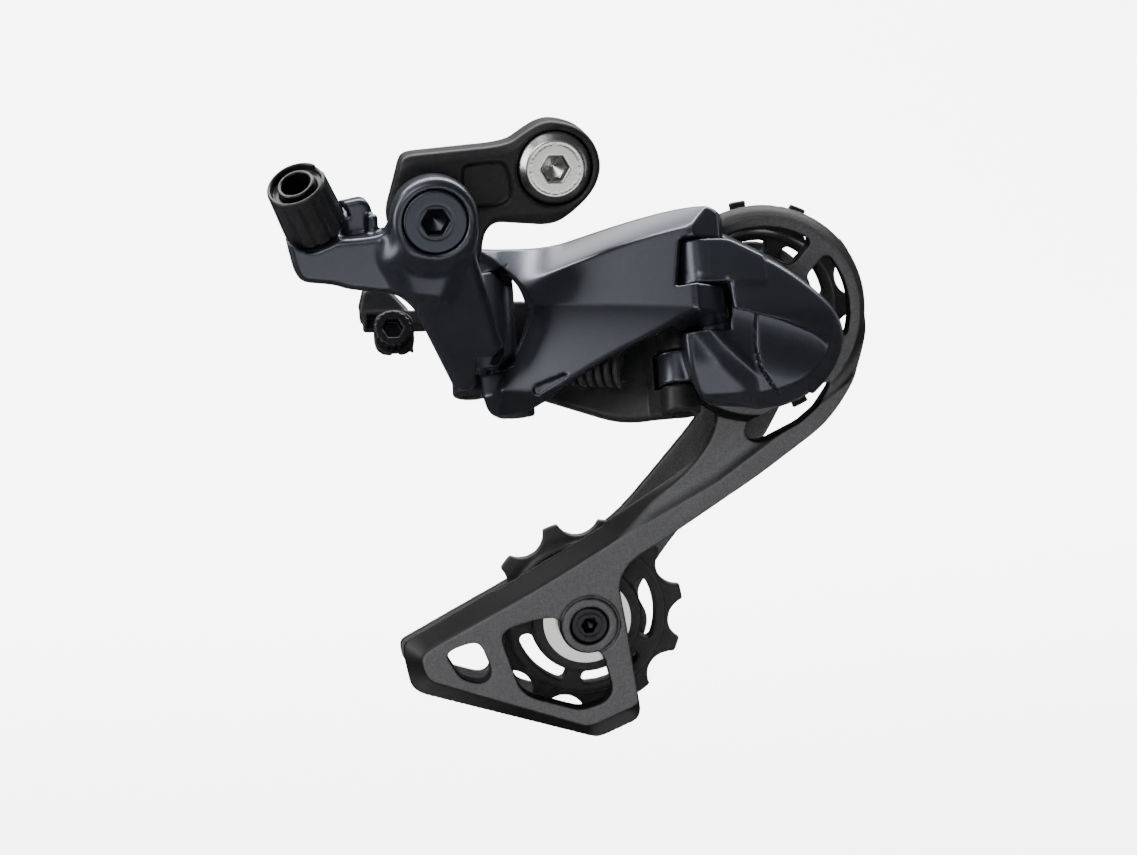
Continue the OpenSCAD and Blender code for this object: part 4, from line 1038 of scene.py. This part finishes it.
def sweep_floor():
    """Pale floor that curves up into a backdrop."""
    profile = [(-2.2, 0.0), (0.7, 0.0)]
    profile += [(0.7 + 0.5 * math.sin(a), 0.5 - 0.5 * math.cos(a))
        for a in np.linspace(0.1, math.pi / 2, 12)]
    profile += [(1.2, 2.6)]
    points = [(x, y, z + FLOOR_Z) for y, z in profile for x in (-3.0, 3.0)]
    faces = [(2 * i, 2 * i + 1, 2 * i + 3, 2 * i + 2) for i in range(len(profile) - 1)]
    mesh = bpy.data.meshes.new("floor")
    mesh.from_pydata(points, [], faces)
    mesh.shade_smooth()
    piece = bpy.data.objects.new("floor", mesh)
    bpy.context.collection.objects.link(piece)
    pale, _, shader = new_material("pale_floor")
    shader.inputs["Base Color"].default_value = (0.93, 0.93, 0.93, 1)
    shader.inputs["Roughness"].default_value = 0.9
    shader.inputs["Specular IOR Level"].default_value = 0.1
    mesh.materials.append(pale)
    piece.visible_glossy = False


def area_light(name, where, aim, size, power, colour=(1, 1, 1)):
    data = bpy.data.lights.new(name, "AREA")
    data.shape = "RECTANGLE"
    data.size, data.size_y = size
    data.energy = power
    data.color = colour
    lamp = bpy.data.objects.new(name, data)
    lamp.location = where
    lamp.rotation_euler = (Vector(aim) - Vector(where)).to_track_quat("-Z", "Y").to_euler()
    bpy.context.collection.objects.link(lamp)


sweep_floor()
CENTRE = (0.0, 0.0, -0.05)
area_light("top_soft", (-0.05, 0.05, 0.60), CENTRE, (1.0, 0.30), 2.5)
area_light("left_soft", (-0.80, -0.28, 0.16), CENTRE, (0.3, 0.8), 7)
area_light("low_front", (0.15, -1.20, -0.38), CENTRE, (1.1, 0.45), 5)
area_light("right_rim", (0.70, 0.05, 0.10), CENTRE, (0.12, 0.7), 1)
area_light("front_soft", (-0.45, -1.10, 0.50), CENTRE, (0.6, 0.4), 6)
area_light("backdrop_wash", (0.0, 0.30, 0.85), (0.0, 1.15, 0.0), (2.4, 0.4), 110)
area_light("floor_wash", (0.0, 1.0, 0.9), (0.0, 0.55, -0.24), (2.4, 0.4), 30)
world = bpy.data.worlds.new("studio")
bpy.context.scene.world = world
world.use_nodes = True
world.node_tree.nodes["Background"].inputs["Color"].default_value = (0.95, 0.97, 1.0, 1)
world.node_tree.nodes["Background"].inputs["Strength"].default_value = WORLD_STRENGTH

camera_data = bpy.data.cameras.new("camera")
camera_data.lens = LENS_MM
camera_data.sensor_width = SENSOR_MM
camera_data.clip_start = 0.02
camera = bpy.data.objects.new("camera", camera_data)
camera.location = CAMERA_PLACE
az, el = math.radians(CAMERA_AZIMUTH), math.radians(CAMERA_ELEVATION)
view = Vector((-math.sin(az) * math.cos(el), math.cos(az) * math.cos(el), -math.sin(el)))
camera.rotation_euler = view.to_track_quat("-Z", "Y").to_euler()
bpy.context.collection.objects.link(camera)
bpy.context.scene.camera = camera
